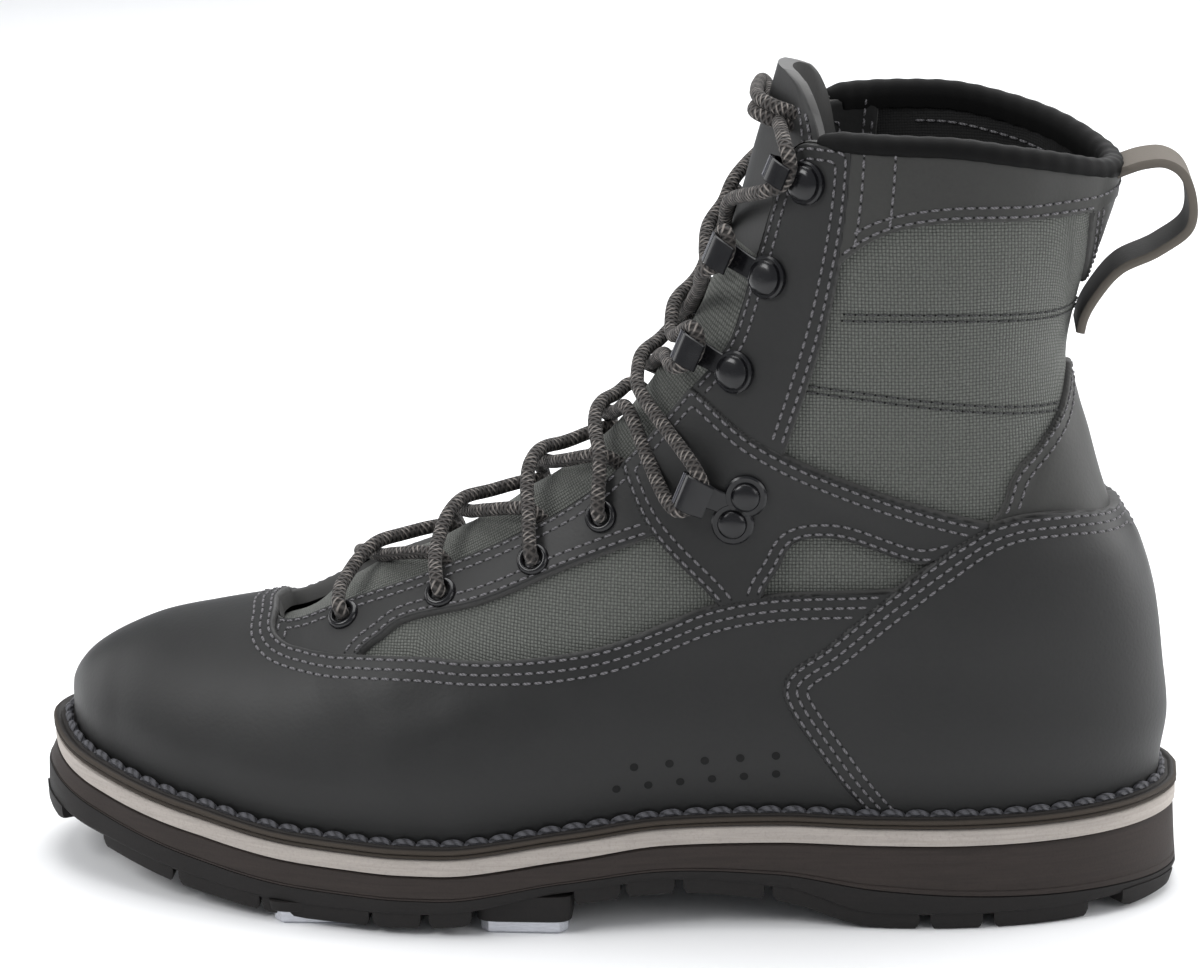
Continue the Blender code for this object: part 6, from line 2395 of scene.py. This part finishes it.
    def lug(self, soup: Soup, a: float, b: float, side: float, middle: bool) -> None:
        """One lug with eased edges and a foot that follows the ground line.

        Args:
            soup: the outsole's mesh.
            a: start along, as a share.
            b: end along, as a share.
            side: -1 for the lateral side, 1 for the medial side.
            middle: True for a lug on the middle line.
        """
        grow = 0.0 if middle else 0.75
        x0, x1 = float(self.form.x_at(a)) - grow, float(self.form.x_at(b)) + grow
        inner_xs = np.linspace(x0 + 1.1, x1 - 1.1, 6)[1:-1]
        xs = np.array([x0, x0 + 0.5, x0 + 1.1, *inner_xs, x1 - 1.1, x1 - 0.5, x1])
        ease = np.array([1.5, 0.5, 0.0, 0, 0, 0, 0, 0.0, 0.5, 1.5])
        depth = 19.0 if 0.05 < a < 0.9 else 30.0
        rings = []
        for x, e in zip(xs, ease):
            lat, med = self.edges(x)
            if middle:
                edge, inner = 0.36 * lat, 0.36 * med
            else:
                edge = (lat + 0.5) if side < 0 else (med - 0.5)
                inner = edge - side * depth
                mid = 0.5 * (lat + med)
                inner = max(inner, mid + 2.5) if side > 0 else min(inner, mid - 2.5)
                edge = max(edge, inner + 3) if side > 0 else min(edge, inner - 3)
            low, high = min(edge, inner), max(edge, inner)
            bottom = float(self.form.sole_z(1, np.array(x))) + e * 1.2
            top = float(self.base_under(np.array(x))) + 1.3
            r = 0.8
            rings.append(np.array([
                (x, low - 0.1 * r, top), (x, low + 0.1, bottom + 1.6), (x, low + 0.4, bottom + 0.5),
                (x, low + 1.2, bottom), (x, high - 1.2, bottom), (x, high - 0.4, bottom + 0.5),
                (x, high - 0.1, bottom + 1.6), (x, high + 0.1 * r, top)]))
        soup.add(*lofted(rings))

    def ropes(self) -> None:
        """Twisted lock stitches on the welt, each a short rope sunk at its ends."""
        line = self.form.sole_ring(self.width - 4.3, 5)
        closed = np.concatenate([line, line[:1]])
        at = np.concatenate([[0], np.cumsum(np.linalg.norm(np.diff(closed, axis=0), axis=1))])
        count = int(at[-1] / self.rope_pitch)
        soup = Soup()
        holes = Soup()
        for k in range(count):
            mid = (k + 0.5) * at[-1] / count
            s = mid + np.linspace(-0.5, 0.5, 9) * self.rope_length
            p = np.stack([np.interp(s % at[-1], at, closed[:, c]) for c in range(3)], axis=1)
            bow = np.cos(np.linspace(-1, 1, 9) * math.pi / 2) ** 0.5
            p[:, 2] += -0.6 + 1.25 * bow
            radius = 0.70 + 0.52 * bow
            soup.add(*tube(p, radius, 8))
            after = (mid + self.rope_pitch / 2) % at[-1]
            end = np.array([np.interp(after, at, closed[:, c]) for c in range(3)])
            axis, forward = np.array([0, 0, 1.0]), np.array([1.0, 0, 0])
            # Dark disc of painted shade at each stitch hole.
            holes.add(*turned([(0.0, 0.02), (0.9, 0.06)], end, axis, forward, 8))
        soup.make("welt_rope_stitches", self.kit["rope"], Slot.WELT)
        holes.make("welt_stitch_holes", self.kit["hole"], Slot.WELT)

    def footbed(self) -> None:
        """Finishes the footbed and the tread bars, which keep their solids."""
        for name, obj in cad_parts.items():
            finish = None
            if name.startswith("bar"):
                finish = self.kit["bar"]
            elif name == "insole":
                finish = self.kit["footbed"]
            if finish is None:
                continue
            target = obj if isinstance(obj, bpy.types.Object) else bpy.data.objects[name]
            for slot in target.material_slots:
                slot.material = finish


# Stage


@dataclass
class Stage:
    """Plain floor, soft studio light and the camera."""

    kit: Kit
    camera_at: tuple[float, float, float] = (0.08586, -0.98656, 0.41542)
    forward: tuple[float, float, float] = (-0.0821, 0.9533, -0.2909)
    up: tuple[float, float, float] = (-0.0058, 0.2914, 0.9566)
    lens: float = 111.51

    def build(self) -> None:
        """Builds the whole stage."""
        self.camera()
        self.floor()
        self.light("key_light", (-0.95, -0.60, 1.05), 0.6, 9.5)
        self.light("fill_light", (1.15, -0.80, 0.75), 0.7, 4.5)
        self.light("top_light", (0.05, 0.35, 1.55), 1.4, 24.0)
        self.light("back_light", (0.35, 1.25, 0.9), 1.0, 9.0)
        self.light("toe_side_light", (-1.35, 0.42, 0.42), 0.8, 4.5)
        self.light("heel_side_light", (1.35, 0.38, 0.50), 0.8, 13.0)
        world = bpy.data.worlds.new("studio")
        world.use_nodes = True
        shade = world.node_tree.nodes["Background"]
        shade.inputs["Color"].default_value = (0.93, 0.95, 1.0, 1.0)
        shade.inputs["Strength"].default_value = 0.42
        bpy.context.scene.world = world
        bpy.context.scene.view_settings.view_transform = "Standard"

    def camera(self) -> None:
        """Camera at the photograph's place and angle."""
        data = bpy.data.cameras.new("camera")
        data.lens = self.lens
        data.sensor_width = 36.0
        data.sensor_fit = "HORIZONTAL"
        data.clip_start = 0.05
        obj = bpy.data.objects.new("camera", data)
        f, u = Vector(self.forward).normalized(), Vector(self.up).normalized()
        r = f.cross(u).normalized()
        u = r.cross(f)
        turn = Matrix((r, u, -f)).transposed().to_4x4()
        obj.matrix_world = Matrix.Translation(Vector(self.camera_at)) @ turn
        bpy.context.scene.collection.objects.link(obj)
        bpy.context.scene.camera = obj

    def floor(self) -> None:
        """Pale floor that curves up far behind the boot."""
        mesh = bpy.data.meshes.new("floor")
        line = [(-3.0, 0.0), (2.2, 0.0)]
        turns = np.linspace(0.15, math.pi / 2, 10)
        line += [(2.2 + 0.9 * math.sin(a), 0.9 - 0.9 * math.cos(a)) for a in turns]
        line.append((3.1, 3.5))
        points = [(x, y, z) for y, z in line for x in (-4.0, 4.0)]
        faces = [(2 * k, 2 * k + 1, 2 * k + 3, 2 * k + 2) for k in range(len(line) - 1)]
        mesh.from_pydata(points, [], faces)
        mesh.polygons.foreach_set("use_smooth", np.ones(len(faces), bool))
        obj = bpy.data.objects.new("floor", mesh)
        mesh.materials.append(Paper("pale_floor", (0.88, 0.885, 0.89), rough=0.8).make(self.kit.effects))
        bpy.context.scene.collection.objects.link(obj)

    def light(self, name: str, place: tuple[float, float, float], size: float, power: float) -> None:
        """Square soft light that faces the boot.

        Args:
            name: the light's name.
            place: where it stands, in metres.
            size: edge of its square.
            power: its strength.
        """
        data = bpy.data.lights.new(name, "AREA")
        data.shape = "SQUARE"
        data.size = size
        data.energy = power
        obj = bpy.data.objects.new(name, data)
        obj.location = place
        obj.rotation_euler = (Vector((0.0, 0.0, 0.1)) - Vector(place)).to_track_quat("-Z", "Y").to_euler()
        bpy.context.scene.collection.objects.link(obj)


def main() -> None:
    """Builds the boot's looks in order."""
    logging.basicConfig(level=logging.INFO, format="%(message)s")
    kit = Kit()
    Stage(kit).build()
    form = BootForm()
    LOG.info("grid ready")
    hardware = Hardware(form, kit)
    parts = (
        TextileUpper(form, kit), Panels(form, kit), CollarBinding(form, kit), DrainHoles(form, kit),
        Tongue(form, kit), PullLoop(kit), hardware, Lace(form, kit, hardware), Sole(form, kit),
    )
    for part in parts:
        part.build()
        LOG.info("built %s", type(part).__name__)


if __name__ == "__main__":
    main()
